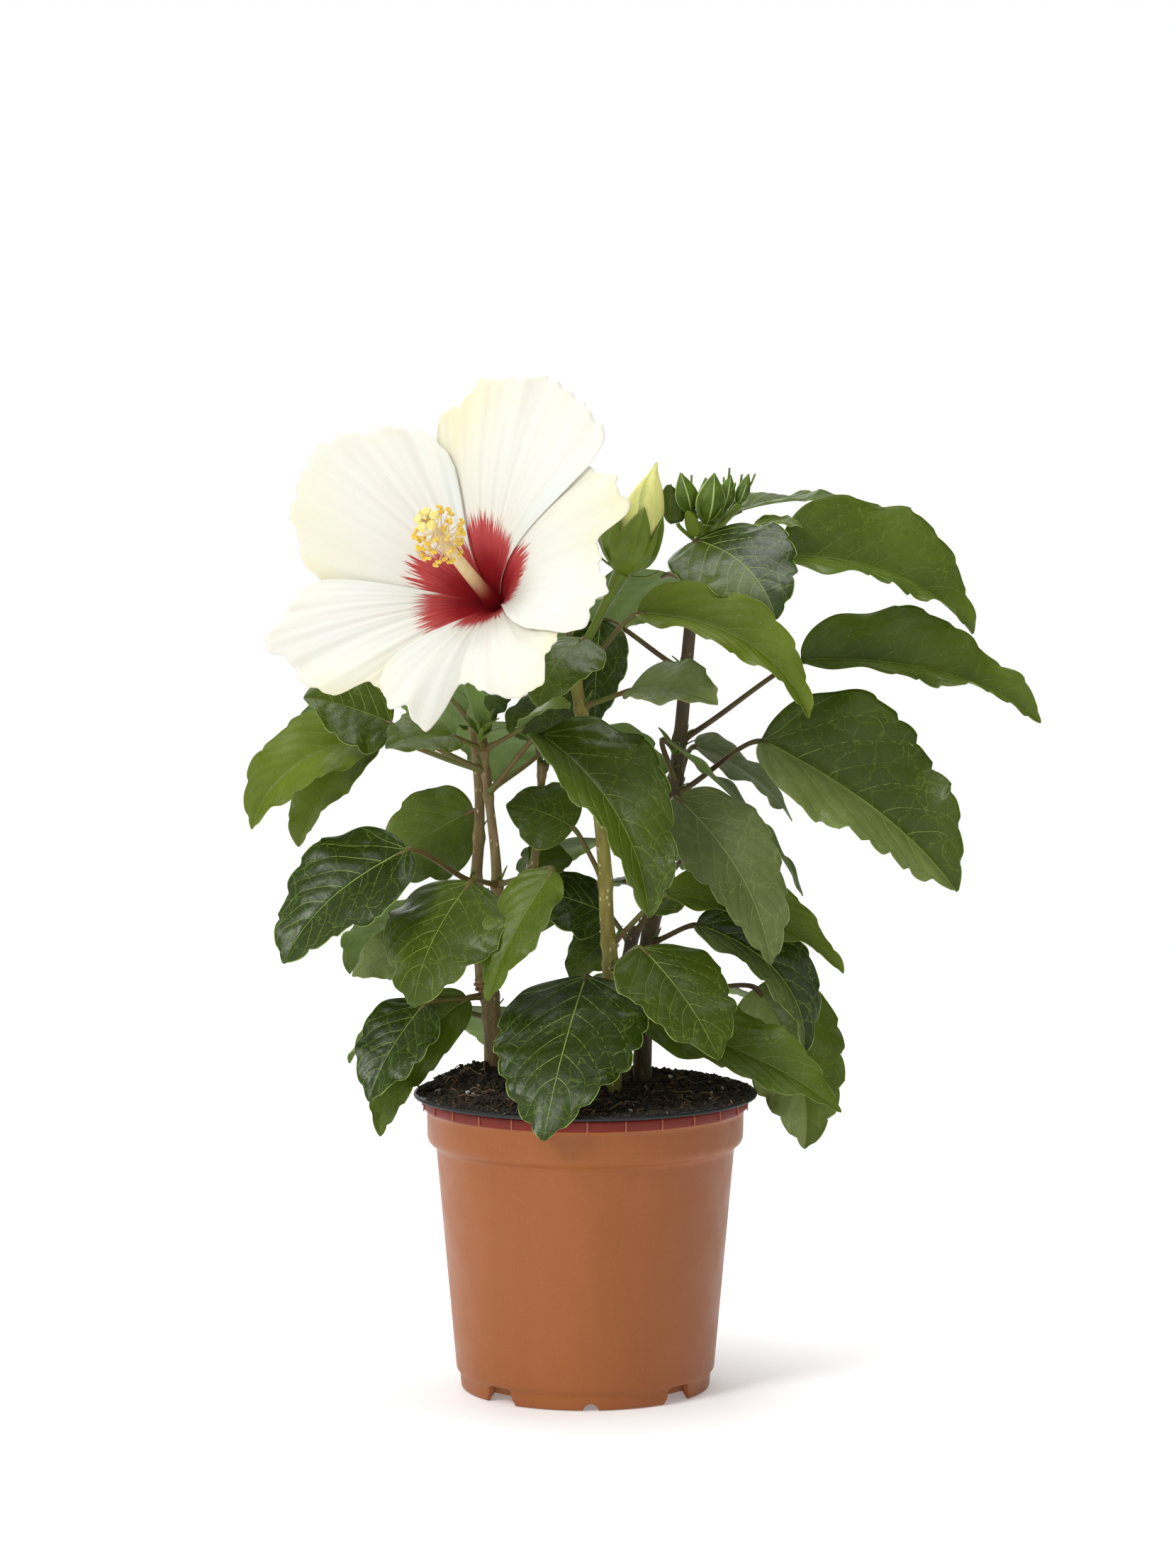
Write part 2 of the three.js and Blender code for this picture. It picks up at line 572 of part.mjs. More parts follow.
// A narrow pointed bract that leaves a bud's base and curls away from it.
function bractSolid(foot, axis, turn, length, width, spread) {
  const side = new THREE.Vector3(Math.cos(turn), Math.sin(turn), 0);
  side.addScaledVector(axis, -side.dot(axis)).normalize();
  const cross = new THREE.Vector3().crossVectors(axis, side);
  const rows = [];
  const ups = [];
  for (const s of [0, 0.5, 1]) {
    const lean = spread * (0.4 + 0.8 * s);
    const centre = foot.clone().addScaledVector(axis, length * s * Math.cos(lean))
      .addScaledVector(side, length * s * Math.sin(lean) + 0.8);
    const half = s > 0 ? (width / 2) * (1 - s * s) : 0;
    rows.push([-1, 1].map((t) => centre.clone().addScaledVector(cross, t * half)));
    const up = axis.clone().multiplyScalar(Math.sin(lean)).addScaledVector(side, -Math.cos(lean));
    ups.push([up, up]);
  }
  return sheetSolid(rows, ups, bractThick, true);
}

function budSolids() {
  const base = vec(bud.base);
  const tip = vec(bud.tip);
  const axis = tip.clone().sub(base).normalize();
  const petalRoot = base.clone().lerp(tip, 0.12);
  const frame = new THREE.Matrix4().makeBasis(...basisFor(axis)).setPosition(base);
  const long = base.distanceTo(tip);
  const cup = cupSolid([
    [1.2, 0], [bud.cup * 0.62, long * 0.08], [bud.cup * 0.98, long * 0.28],
    [bud.cup * 0.86, long * 0.44, long * 0.2], [bud.cup * 0.5, long * 0.44, long * 0.2],
    [0.3, long * 0.2],
  ], frame, 5, 15);
  const pieces = [cup];
  for (let k = 0; k < bud.bracts; k += 1) {
    const turn = (k / bud.bracts) * 2 * Math.PI;
    pieces.push(bractSolid(base.clone().addScaledVector(axis, 1), axis, turn, bud.bractLong, 2.4, 0.95));
  }
  const top = onStem('stem_middle', 275).point;
  const foot = top.clone().add(vec([1.4, -0.4, 1.2]));
  pieces.push(stalk(foot, base.clone().addScaledVector(axis, 1.5), 2, [1.4, 1.7]));
  const room = spindleSolid(petalRoot, tip, bud.width, 8, clear);
  return [
    spindleSolid(petalRoot, tip, bud.width, 8),
    largest(join(pieces).subtract(room).subtract(stemSolid('stem_middle', clear))),
  ];
}

function basisFor(axis) {
  const right = new THREE.Vector3(1, 0, 0).addScaledVector(axis, -axis.x).normalize();
  return [right, new THREE.Vector3().crossVectors(axis, right), axis];
}

function budClusterSolid() {
  const foot = vec(budCluster.foot);
  const pieces = [];
  for (const [from, to] of budCluster.heads) {
    const base = vec(from);
    const axis = vec(to).sub(base).normalize();
    pieces.push(spindleSolid(base, vec(to), budCluster.width, 5));
    pieces.push(stalk(foot.clone(), base.clone().addScaledVector(axis, 1.5), 0, [1.6, 1.4]));
    for (let k = 0; k < budCluster.bracts; k += 1) {
      const turn = (k / budCluster.bracts) * 2 * Math.PI + 0.3;
      pieces.push(bractSolid(base, axis, turn, budCluster.bractLong, 3, 0.7));
    }
  }
  return largest(join(pieces).subtract(stemSolid('stem_dark', clear)));
}

// ---- pot, liner and soil --------------------------------------------------------------

function latheSolid(profile, sides = pot.sides) {
  const lathe = new THREE.LatheGeometry(profile.map(([r, z]) => new THREE.Vector2(r, z)), sides);
  lathe.rotateX(Math.PI / 2);
  return solidFromGeometry(lathe);
}

// The wall's inner radius at a height, and the liner that stands inside it.
const wallAt = (z) => mix(pot.base, pot.top, (z - pot.step) / (pot.collarLow - pot.step)) - pot.wall;

function potSolid() {
  let body = latheSolid([
    [0, 0], [pot.pad, 0], [pot.pad + 1, pot.channel], [pot.foot - 3, pot.channel], [pot.foot - 2.5, 0],
    [pot.foot, 0], [pot.foot, pot.step], [pot.base, pot.step + 2], [pot.top, pot.collarLow - 1],
    [pot.collar - 0.8, pot.collarLow], [pot.collar, pot.collarLow + 1.4], [pot.collar, pot.collarHigh],
    [pot.band, pot.collarHigh + 0.4], [pot.band, pot.height], [pot.band - 1.4, pot.height],
    [wallAt(pot.collarLow), pot.collarLow - 2], [wallAt(10), 10],
    [pot.foot - 4, pot.channel + pot.floor], [0, pot.channel + pot.floor],
  ]);
  for (let k = 0; k < pot.notches; k += 1) {
    const turn = rad(45 + pot.turned + k * 90);
    const notch = new THREE.BoxGeometry(8, pot.notchWide, pot.notchHigh * 2);
    notch.translate(pot.foot + 0.9, 0, 0);
    notch.rotateZ(turn);
    const hole = new THREE.CylinderGeometry(pot.hole, pot.hole, 12, 8);
    hole.rotateX(Math.PI / 2);
    hole.translate(pot.holeAt, 0, 4);
    hole.rotateZ(turn);
    const scallop = new THREE.CylinderGeometry(pot.scallop, pot.scallop, 10, 10);
    scallop.rotateZ(Math.PI / 2);
    scallop.translate(pot.foot - 1, 0, 0);
    scallop.rotateZ(turn + Math.PI / 4);
    for (const cut of [notch, hole, scallop]) body = body.subtract(solidFromGeometry(cut));
  }
  return body;
}

function linerSolid() {
  const out = (z) => wallAt(z) - clear;
  const seat = pot.height + clear;
  return latheSolid([
    [0, liner.foot], [out(10) - 3, liner.foot], [out(14), liner.foot + 2], [out(90), 90],
    [pot.band - 2.6, pot.height], [pot.band, seat], [liner.lip, seat],
    [liner.lip, seat + liner.lipThick], [pot.band - 3.4, seat + liner.lipThick],
    [out(90) - liner.wall, 89], [out(14) - liner.wall, liner.foot + 4], [0, liner.foot + 2],
  ]);
}

// Height of the soil: level with the rim, heaped up round the left stem, with small clods.
function soilHeight(x, y) {
  const away = Math.hypot(x - soil.heapAt[0], y - soil.heapAt[1]) / soil.heapWide;
  const heap = soil.heap * Math.exp(-(away ** 2) / 2);
  const clods = Math.sin(x * 0.31 + 1.3 * Math.sin(y * 0.23)) * Math.sin(y * 0.37 + Math.sin(x * 0.19));
  const edge = 2.2 * (Math.hypot(x, y) / soil.rim) ** 8;
  return soil.level + heap + soil.rough * clods - edge;
}

function soilSolid() {
  const sides = 22;
  const rings = [1, 0.82, 0.62, 0.42, 0.22].map((k) => k * soil.rim);
  const points = [new THREE.Vector3(0, 0, soil.bottom)];
  const triangles = [];
  const ring = (r, height) => {
    for (let j = 0; j < sides; j += 1) {
      const turn = (j / sides) * 2 * Math.PI;
      const [x, y] = [r * Math.cos(turn), r * Math.sin(turn)];
      points.push(new THREE.Vector3(x, y, height(x, y)));
    }
  };
  ring(wallAt(12) - clear - liner.wall - 3, () => soil.bottom);
  ring(wallAt(88) - clear - liner.wall - 1, () => 88);
  for (const r of rings) ring(r, soilHeight);
  points.push(new THREE.Vector3(0, 0, soilHeight(0, 0)));
  const top = points.length - 1;
  for (let j = 0; j < sides; j += 1) {
    const k = (j + 1) % sides;
    triangles.push(0, 1 + k, 1 + j, top, top - sides + j, top - sides + k);
    for (let i = 0; i <= rings.length; i += 1) {
      const low = 1 + i * sides;
      triangles.push(low + j, low + k, low + sides + k, low + j, low + sides + k, low + sides + j);
    }
  }
  let bed = solidOf(points, triangles);
  for (const name of ['stem_left', 'stem_middle', 'stem_dark', 'stem_dark_low']) {
    bed = bed.subtract(stemSolid(name, clear));
  }
  return bed;
}

// ---- assembly -----------------------------------------------------------------------

const finish = {
  pot: { color: 0xaa6438, roughness: 0.5, metalness: 0 },
  liner: { color: 0x3c4044, roughness: 0.5, metalness: 0 },
  soil: { color: 0x241c18, roughness: 0.95, metalness: 0 },
  bark: { color: 0x6b5a38, roughness: 0.7, metalness: 0 },
  darkBark: { color: 0x46322a, roughness: 0.65, metalness: 0 },
  leaf: { color: 0x2f5a26, roughness: 0.4, metalness: 0 },
  petal: { color: 0xfbfaf0, roughness: 0.6, metalness: 0 },
  column: { color: 0xecc86a, roughness: 0.6, metalness: 0 },
  budGreen: { color: 0x4c7a2c, roughness: 0.5, metalness: 0 },
  budPetal: { color: 0xdde09a, roughness: 0.5, metalness: 0 },
};

const shrub = new THREE.Group();
function addPiece(name, solid, look) {
  const mesh = new THREE.Mesh(geometryOf(solid), new THREE.MeshStandardMaterial(finish[look]));
  mesh.name = name;
  shrub.add(mesh);
}

addPiece('pot', potSolid(), 'pot');
addPiece('liner', linerSolid(), 'liner');
addPiece('soil', soilSolid(), 'soil');

const grown = [];
for (const name of Object.keys(stems)) {
  const solid = grown.reduce((a, other) => a.subtract(stemSolid(other, clear)), stemSolid(name));
  addPiece(name, largest(solid), name.startsWith('stem_dark') ? 'darkBark' : 'bark');
  grown.push(name);
}

for (const [name, mass] of Object.entries(masses)) addPiece(name, massSolid(mass), 'leaf');
rearMasses.forEach((row, i) => {
  const [name, stem, at] = row;
  addPiece(name, massSolid({ stem, at, leaves: rearLeaves(row, i + 1) }), 'leaf');
});

addPiece('corolla', corollaSolid(), 'petal');
addPiece('staminal_column', columnSolid(), 'column');
addPiece('bloom_calyx', bloomCalyxSolid(), 'budGreen');

const [budPetals, budCalyx] = budSolids();
addPiece('bud_petals', budPetals, 'budPetal');
addPiece('bud_calyx', budCalyx, 'budGreen');
addPiece('bud_cluster', budClusterSolid(), 'budGreen');

export default shrub;
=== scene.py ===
import bpy
import numpy as np
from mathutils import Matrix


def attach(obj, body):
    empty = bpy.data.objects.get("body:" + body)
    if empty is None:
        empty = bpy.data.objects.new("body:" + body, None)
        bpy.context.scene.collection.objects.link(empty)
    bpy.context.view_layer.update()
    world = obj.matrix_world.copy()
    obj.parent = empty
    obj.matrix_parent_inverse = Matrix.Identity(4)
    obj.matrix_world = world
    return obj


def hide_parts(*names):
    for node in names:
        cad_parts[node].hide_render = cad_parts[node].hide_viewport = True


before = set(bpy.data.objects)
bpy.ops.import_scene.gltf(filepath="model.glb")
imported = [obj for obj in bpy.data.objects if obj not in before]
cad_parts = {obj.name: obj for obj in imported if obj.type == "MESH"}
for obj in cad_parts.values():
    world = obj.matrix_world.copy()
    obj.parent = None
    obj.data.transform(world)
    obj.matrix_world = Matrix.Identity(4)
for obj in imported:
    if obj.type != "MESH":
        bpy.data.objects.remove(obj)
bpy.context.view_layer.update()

# Potted hibiscus shrub. Shapes are worked out in millimetres, +Z up, from the middle of the pot's
# foot, and turned into metres where a mesh is made. Compass 0 is +X, 90 is behind, 270 is in front.
mm = 0.001
turnFull = 2 * np.pi


# A point or a direction as an array.
def point(*values):
    return np.array(values, float)


# A vector of length one along v.
def unit(v):
    return v / np.maximum(np.linalg.norm(v, axis=-1, keepdims=True), 1e-12)


# Unit vectors from compass angles and rises above the level, both in degrees.
def heading(compass, rise):
    c, e = np.radians(compass) * np.ones_like(rise), np.radians(rise)
    return np.stack([np.cos(c) * np.cos(e), np.sin(c) * np.cos(e), np.sin(e)], -1)


# Seeded chance between 0 and 1: the fraction of a large multiple of a sine.
def chance(seed, k):
    x = np.sin(seed * 12.9898 + k * 78.233) * 43758.5453
    return x - np.floor(x)


# Smooth step from 0 to 1 while x goes from low to high.
def ease(x, low, high):
    q = np.clip((x - low) / (high - low), 0, 1)
    return q * q * (3 - 2 * q)


# Seeded roughness: sines in turned directions, each octave finer by 1.9 and fainter by a half.
def ripple(u, v, seed, size, octaves=4):
    draw = np.random.default_rng(seed)
    total = 0.0
    for k in range(octaves):
        for turn, phase in draw.uniform(0, turnFull, (3, 2)):
            total = total + 0.5 ** k * np.sin((u * np.cos(turn) + v * np.sin(turn)) * 1.9 ** k / size + phase)
    return total / 3


# Catmull-Rom curve through the points, evenly divided in its own parameter: each stretch is the
# usual cubic of its four nearest points, the ends being carried straight on.
def smoothPath(path, steps):
    p = np.array(path, float)
    p = np.vstack([2 * p[0] - p[1], p, 2 * p[-1] - p[-2]])
    where = np.linspace(0, len(p) - 3, steps + 1)
    k = np.minimum(where.astype(int), len(p) - 4)
    q = (where - k)[:, None]
    a, b, c, d = p[k], p[k + 1], p[k + 2], p[k + 3]
    return b + 0.5 * q * (c - a + q * (2 * a - 5 * b + 4 * c - d + q * (3 * (b - c) + d - a)))


# Hermite curve from a to b with a start and an end tangent.
def hermite(a, b, startPull, endPull, steps):
    q = np.linspace(0, 1, steps + 1)[:, None]
    return ((2 * q ** 3 - 3 * q ** 2 + 1) * a + (q ** 3 - 2 * q ** 2 + q) * startPull
            + (3 * q ** 2 - 2 * q ** 3) * b + (q ** 3 - q ** 2) * endPull)


# Two directions across each point of a path, carried along so that they don't twist.
def acrossPath(path, first=(0.31, 0.95, 0.08)):
    ahead = unit(np.gradient(path, axis=0))
    side = np.empty_like(path)
    side[0] = unit(np.array(first) - np.dot(first, ahead[0]) * ahead[0])
    for i in range(1, len(path)):
        side[i] = unit(side[i - 1] - np.dot(side[i - 1], ahead[i]) * ahead[i])
    return side, np.cross(ahead, side)


# Rings round a path: radius is one number per point, or one row of radii per ring.
def ringsAlong(path, radius, sides):
    side, other = acrossPath(path)
    turn = np.arange(sides) / sides * turnFull
    r = np.asarray(radius, float)
    r = r[:, None] if r.ndim == 1 else r
    wide = r * np.cos(turn)
    high = r * np.sin(turn)
    return path[:, None] + wide[..., None] * side[:, None] + high[..., None] * other[:, None]


# An empty bag, to which closed shells are added until it is made one piece.
def newBag():
    return {"points": [], "quads": [], "tris": [], "quadLook": [], "triLook": [], "count": 0, "marks": {}}


# Adds one closed shell of points and faces. Its faces are turned outwards: the volume summed over
# the faces has to be positive. marks are values per point that a material reads.
def addShell(bag, points, quads, tris, quadLook, triLook, marks):
    local = points - points.mean(0)
    faces = np.vstack([quads[:, :3], quads[:, [0, 2, 3]], tris])
    volume = np.einsum("ij,ij->", local[faces[:, 0]], np.cross(local[faces[:, 1]], local[faces[:, 2]]))
    if volume < 0:
        quads, tris = quads[:, ::-1], tris[:, ::-1]
    bag["points"].append(points)
    bag["quads"].append(quads + bag["count"])
    bag["tris"].append(tris + bag["count"])
    bag["quadLook"].append(quadLook)
    bag["triLook"].append(triLook)
    for name, values in marks.items():
        bag["marks"].setdefault(name, []).append(values)
    bag["count"] += len(points)


# Adds closed loops of points, ring after ring, closed with a pole at each end. look is one
# material number or one for each column.
def addRings(bag, rings, look=0, marks=None):
    n, m = rings.shape[:2]
    index = np.arange(n * m).reshape(n, m)
    after = np.roll(index, -1, axis=1)
    quads = np.stack([index[:-1], after[:-1], after[1:], index[1:]], -1).reshape(-1, 4)
    bottom = np.stack([after[0], index[0], np.full(m, n * m)], -1)
    top = np.stack([index[-1], after[-1], np.full(m, n * m + 1)], -1)
    points = np.vstack([rings.reshape(-1, 3), rings[0].mean(0), rings[-1].mean(0)])
    columnLook = np.broadcast_to(look, (m,))
    ends = {}
    for name, values in (marks or {}).items():
        v = np.asarray(values, float).reshape(n, m, -1)
        ends[name] = np.vstack([v.reshape(n * m, -1), v[0].mean(0), v[-1].mean(0)])
    addShell(bag, points, quads, np.vstack([bottom, top]),
             np.tile(columnLook, n - 1), np.tile(columnLook, 2), ends)


# Adds a sheet with a front and a back, two grids of the same size stitched all round their edge.
def addSheet(bag, front, back, looks=(0, 0), marks=None):
    n, m = front.shape[:2]
    index = np.arange(2 * n * m).reshape(2, n, m)
    a, b = index
    grid = [np.stack([g[:-1, :-1], g[:-1, 1:], g[1:, 1:], g[1:, :-1]], -1).reshape(-1, 4) for g in (a, b)]
    rim = np.concatenate([a[0, :-1], a[:-1, -1], a[-1, :0:-1], a[:0:-1, 0]])
    rimBack = rim + n * m
    strip = np.stack([np.roll(rim, -1), rim, rimBack, np.roll(rimBack, -1)], -1)
    quads = np.vstack([grid[0], grid[1][:, ::-1], strip])
    look = np.repeat([looks[0], looks[1], looks[1]], [len(grid[0]), len(grid[1]), len(strip)])
    doubled = {name: np.tile(np.asarray(v, float).reshape(n * m, -1), (2, 1))
               for name, v in (marks or {}).items()}
    points = np.vstack([front.reshape(-1, 3), back.reshape(-1, 3)])
    addShell(bag, points, quads, np.zeros((0, 3), int), look, np.zeros(0, int), doubled)


# Adds copies of a small closed shape: corners (k, 3) and faces, moved and turned by arrays.
def addCopies(bag, corners, tris, places, frames, sizes):
    pts = np.einsum("nkj,nji->nki", corners[None] * sizes[:, None], frames) + places[:, None]
    base = bag["count"] + np.arange(len(places))[:, None, None] * len(corners)
    bag["points"].append(pts.reshape(-1, 3))
    bag["tris"].append((tris[None] + base).reshape(-1, 3))
    bag["triLook"].append(np.zeros(len(places) * len(tris), int))
    bag["count"] += pts.shape[0] * pts.shape[1]


# Turns a bag into one mesh object in metres, at the origin. It rides on the root body, takes its
# finish from a slot, and stands for the nodes it is given.
def makePiece(name, bag, materials, nodes=(), smooth=True):
    points = np.vstack(bag["points"]) * mm
    quads = np.vstack(bag["quads"]) if bag["quads"] else np.zeros((0, 4), int)
    tris = np.vstack(bag["tris"]) if bag["tris"] else np.zeros((0, 3), int)
    looks = np.concatenate(bag["quadLook"] + bag["triLook"])
    mesh = bpy.data.meshes.new(name)
    mesh.vertices.add(len(points))
    mesh.vertices.foreach_set("co", points.astype(np.float32).ravel())
    mesh.loops.add(quads.size + tris.size)
    mesh.loops.foreach_set("vertex_index", np.concatenate([quads.ravel(), tris.ravel()]).astype(np.int32))
    starts = np.concatenate([np.arange(len(quads)) * 4, quads.size + np.arange(len(tris)) * 3])
    mesh.polygons.add(len(starts))
    mesh.polygons.foreach_set("loop_start", starts.astype(np.int32))
    mesh.polygons.foreach_set("material_index", looks.astype(np.int32))
    mesh.polygons.foreach_set("use_smooth", np.full(len(starts), smooth))
    for mark, parts in bag["marks"].items():
        values = np.vstack(parts)
        kind = "FLOAT" if values.shape[1] == 1 else "FLOAT_VECTOR"
        layer = mesh.attributes.new(mark, kind, "POINT")
        layer.data.foreach_set("value" if kind == "FLOAT" else "vector", values.astype(np.float32).ravel())
    mesh.update(calc_edges=True)
    piece = bpy.data.objects.new(name, mesh)
    bpy.context.scene.collection.objects.link(piece)
    for material in materials:
        mesh.materials.append(material)
    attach(piece, "root")
    if nodes:
        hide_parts(*nodes)
    print("made", name, len(quads) * 2 + len(tris), "triangles")
    return piece


# A colour given as 0 to 255 on screen, as the linear colour that a shader takes.
def paint(r, g, b):
    c = np.array([r, g, b]) / 255
    return (*np.where(c <= 0.04045, c / 12.92, ((c + 0.055) / 1.055) ** 2.4), 1.0)


# One shader node; an input is set to a value or linked where the value is a socket.
def addNode(tree, kind, settings=None, **inputs):
    node = tree.nodes.new(kind)
    for name, value in (settings or {}).items():
        setattr(node, name, value)
    for name, value in inputs.items():
        key = int(name[2:]) if name.startswith("in") and name[2:].isdigit() else name.replace("_", " ")
        socket = node.inputs[key]
        if isinstance(value, bpy.types.NodeSocket):
            tree.links.new(value, socket)
        else:
            socket.default_value = value
    return node


# A material with one Principled shader whose plain numbers are set on its own sockets.
def newMaterial(name, **numbers):
    material = bpy.data.materials.new(name)
    material.use_nodes = True
    tree = material.node_tree
    shader = tree.nodes["Principled BSDF"]
    for key, value in numbers.items():
        shader.inputs[key.replace("_", " ")].default_value = value
    where = addNode(tree, "ShaderNodeTexCoord").outputs["Object"]
    return material, tree, shader, where


# Fractal noise read at where; the helpers after it add one node each and give its output.
def noise(tree, where, scale, detail=4.0, roughness=0.55):
    return addNode(tree, "ShaderNodeTexNoise", Vector=where, Scale=scale, Detail=detail,
                   Roughness=roughness).outputs["Fac"]


# Distance to the nearest edge, or middle, of a pattern of cells.
def cells(tree, where, scale, feature="DISTANCE_TO_EDGE"):
    return addNode(tree, "ShaderNodeTexVoronoi", {"feature": feature}, Vector=where,
                   Scale=scale).outputs["Distance"]


# Places scaled along each axis, which draws a pattern out.
def stretch(tree, where, x, y, z):
    return addNode(tree, "ShaderNodeMapping", Vector=where, Scale=(x, y, z)).outputs["Vector"]


# A value carried smoothly from one range to another, and held at its ends.
def spread(tree, value, low, high, newLow=0.0, newHigh=1.0):
    node = addNode(tree, "ShaderNodeMapRange", {"interpolation_type": "SMOOTHSTEP"}, Value=value)
    for name, number in zip(("From Min", "From Max", "To Min", "To Max"), (low, high, newLow, newHigh)):
        node.inputs[name].default_value = number
    return node.outputs["Result"]


# Colour a at factor 0 and colour b at factor 1.
def blendColours(tree, factor, a, b):
    node = addNode(tree, "ShaderNodeMix", {"data_type": "RGBA"})
    for key, value in ((0, factor), (6, a), (7, b)):
        if isinstance(value, bpy.types.NodeSocket):
            tree.links.new(value, node.inputs[key])
        else:
            node.inputs[key].default_value = value
    return node.outputs[2]


# One sum, product or comparison of two values.
def calculate(tree, operation, a, b):
    return addNode(tree, "ShaderNodeMath", {"operation": operation}, in0=a, in1=b).outputs[0]


# Small relief from a height, laid over an earlier relief where one is given.
def bumpUp(tree, shader, height, distance, strength=1.0, after=None):
    node = addNode(tree, "ShaderNodeBump", Height=height, Distance=distance, Strength=strength)
    if after is not None:
        tree.links.new(after, node.inputs["Normal"])
    tree.links.new(node.outputs["Normal"], shader.inputs["Normal"])
    return node.outputs["Normal"]


# Values that a piece carries at its points.
def markOf(tree, name):
    return addNode(tree, "ShaderNodeAttribute", {"attribute_name": name})


# Object coordinates pushed about by a soft noise, so that what is drawn on them wavers.
def warped(tree, where, scale, amount):
    wander = addNode(tree, "ShaderNodeTexNoise", Vector=where, Scale=scale, Detail=2.0).outputs["Color"]
    push = addNode(tree, "ShaderNodeVectorMath", {"operation": "SCALE"}, in0=wander, Scale=amount).outputs[0]
    return addNode(tree, "ShaderNodeVectorMath", {"operation": "ADD"}, in0=where, in1=push).outputs[0]


# Leaf upper side: the colour drifts in soft patches, a net of paler veinlets lies over it with the
# skin puffed up between them, and a few pale specks of dust lie on it.
def leafMaterial(name, base, patch, net, roughness, relief):
    material, tree, shader, where = newMaterial(name, Specular_IOR_Level=0.26)
    patches = spread(tree, noise(tree, where, 38.0, 3.0), 0.35, 0.65)
    bent = warped(tree, where, 210.0, 0.005)
    wideNet = cells(tree, bent, 110.0)
    fineNet = cells(tree, bent, 430.0)
    wideLine = spread(tree, wideNet, 0.0, 0.032, 0.5 * relief, 0.0)
    fineLine = spread(tree, fineNet, 0.0, 0.10, 0.09 * relief, 0.0)
    speck = spread(tree, cells(tree, where, 620.0, "F1"), 0.07, 0.12, 1.0, 0.0)
    dusty = spread(tree, noise(tree, where, 160.0, 1.0), 0.52, 0.62, 0.0, 0.5)
    colour = blendColours(tree, patches, base, patch)
    colour = blendColours(tree, calculate(tree, "MULTIPLY", noise(tree, where, 900.0, 2.0), 0.2),
                          colour, patch)
    colour = blendColours(tree, calculate(tree, "MAXIMUM", wideLine, fineLine), colour, net)
    colour = blendColours(tree, calculate(tree, "MULTIPLY", speck, dusty), colour, paint(196, 206, 180))
    tree.links.new(colour, shader.inputs["Base Color"])
    gloss = calculate(tree, "ADD", spread(tree, noise(tree, where, 70.0), 0.3, 0.7, -0.05, 0.09), roughness)
    tree.links.new(gloss, shader.inputs["Roughness"])
    puff = bumpUp(tree, shader, spread(tree, wideNet, 0.0, 0.3), 0.00016 * relief, 0.6)
    bumpUp(tree, shader, spread(tree, fineNet, 0.0, 0.4), 0.00006 * relief, 0.6, puff)
    return material


# Leaf underside: paler, matt, with the net standing out.
def underMaterial(name, base, patch):
    material, tree, shader, where = newMaterial(name, Specular_IOR_Level=0.25, Roughness=0.72)
    net = spread(tree, cells(tree, warped(tree, where, 90.0, 0.004), 380.0), 0.0, 0.09, 1.0, 0.0)
    drift = spread(tree, noise(tree, where, 45.0), 0.35, 0.65)
    colour = blendColours(tree, drift, base, patch)
    colour = blendColours(tree, calculate(tree, "MULTIPLY", net, 0.15), colour, paint(156, 174, 108))
    tree.links.new(colour, shader.inputs["Base Color"])
    bumpUp(tree, shader, net, 0.0002, 0.5)
    return material


# A soft living skin with faint patches and grain, for stalks, veins, buds and bracts.
def skinMaterial(name, base, patch, roughness, scale=120.0, bump=0.0001):
    material, tree, shader, where = newMaterial(name, Roughness=roughness, Specular_IOR_Level=0.4)
    drift = spread(tree, noise(tree, where, scale, 4.0), 0.35, 0.65)
    tree.links.new(blendColours(tree, drift, base, patch), shader.inputs["Base Color"])
    bumpUp(tree, shader, noise(tree, where, scale * 8, 3.0), bump, 0.6)
    return material


# Bark: long streaks up the stem, greener stretches and pale raised lenticels.
def barkMaterial(name, base, streak, spot, moss):
    material, tree, shader, where = newMaterial(name, Roughness=0.58, Specular_IOR_Level=0.35)
    streaks = spread(tree, noise(tree, stretch(tree, where, 1, 1, 0.14), 620.0, 5.0), 0.34, 0.66)
    drift = spread(tree, noise(tree, where, 60.0, 3.0), 0.3, 0.7)
    pores = cells(tree, stretch(tree, where, 1, 1, 0.55), 420.0, "F1")
    dots = spread(tree, pores, 0.10, 0.24, 1.0, 0.0)
    colour = blendColours(tree, streaks, base, streak)
    colour = blendColours(tree, calculate(tree, "MULTIPLY", drift, 0.45), colour, moss)
    colour = blendColours(tree, dots, colour, spot)
    tree.links.new(colour, shader.inputs["Base Color"])
    rough = bumpUp(tree, shader, streaks, 0.00025, 0.6)
    bumpUp(tree, shader, dots, 0.0003, 0.8, rough)
    return material


leafLooks = {
    # name: upper side, its patches, veinlets, roughness, vein lines, relief
    "dark": ((36, 50, 8), (45, 62, 11), (98, 126, 46), 0.28, (150, 176, 84), 0.85),
    "deep": ((54, 70, 10), (66, 82, 14), (104, 128, 46), 0.33, (136, 158, 70), 0.8),
    "mid": ((70, 88, 13), (82, 100, 18), (108, 130, 42), 0.38, (120, 140, 56), 0.6),
    "light": ((84, 99, 14), (94, 110, 20), (116, 134, 44), 0.46, (124, 140, 54), 0.35),
    "young": ((98, 120, 20), (112, 134, 28), (140, 160, 60), 0.42, (150, 172, 80), 0.35),
    "dull": ((80, 92, 42), (90, 102, 52), (120, 134, 76), 0.5, (134, 148, 90), 0.8),
    "grey": ((104, 118, 58), (116, 130, 70), (140, 154, 92), 0.38, (150, 164, 104), 0.7),
}
leafTops = {}
for lookName, (base, patch, net, rough, _, relief) in leafLooks.items():
    leafTops[lookName] = leafMaterial("leaf " + lookName, paint(*base), paint(*patch), paint(*net),
                                      rough, relief)
leafUnder = underMaterial("leaf underside", paint(98, 122, 54), paint(112, 136, 66))
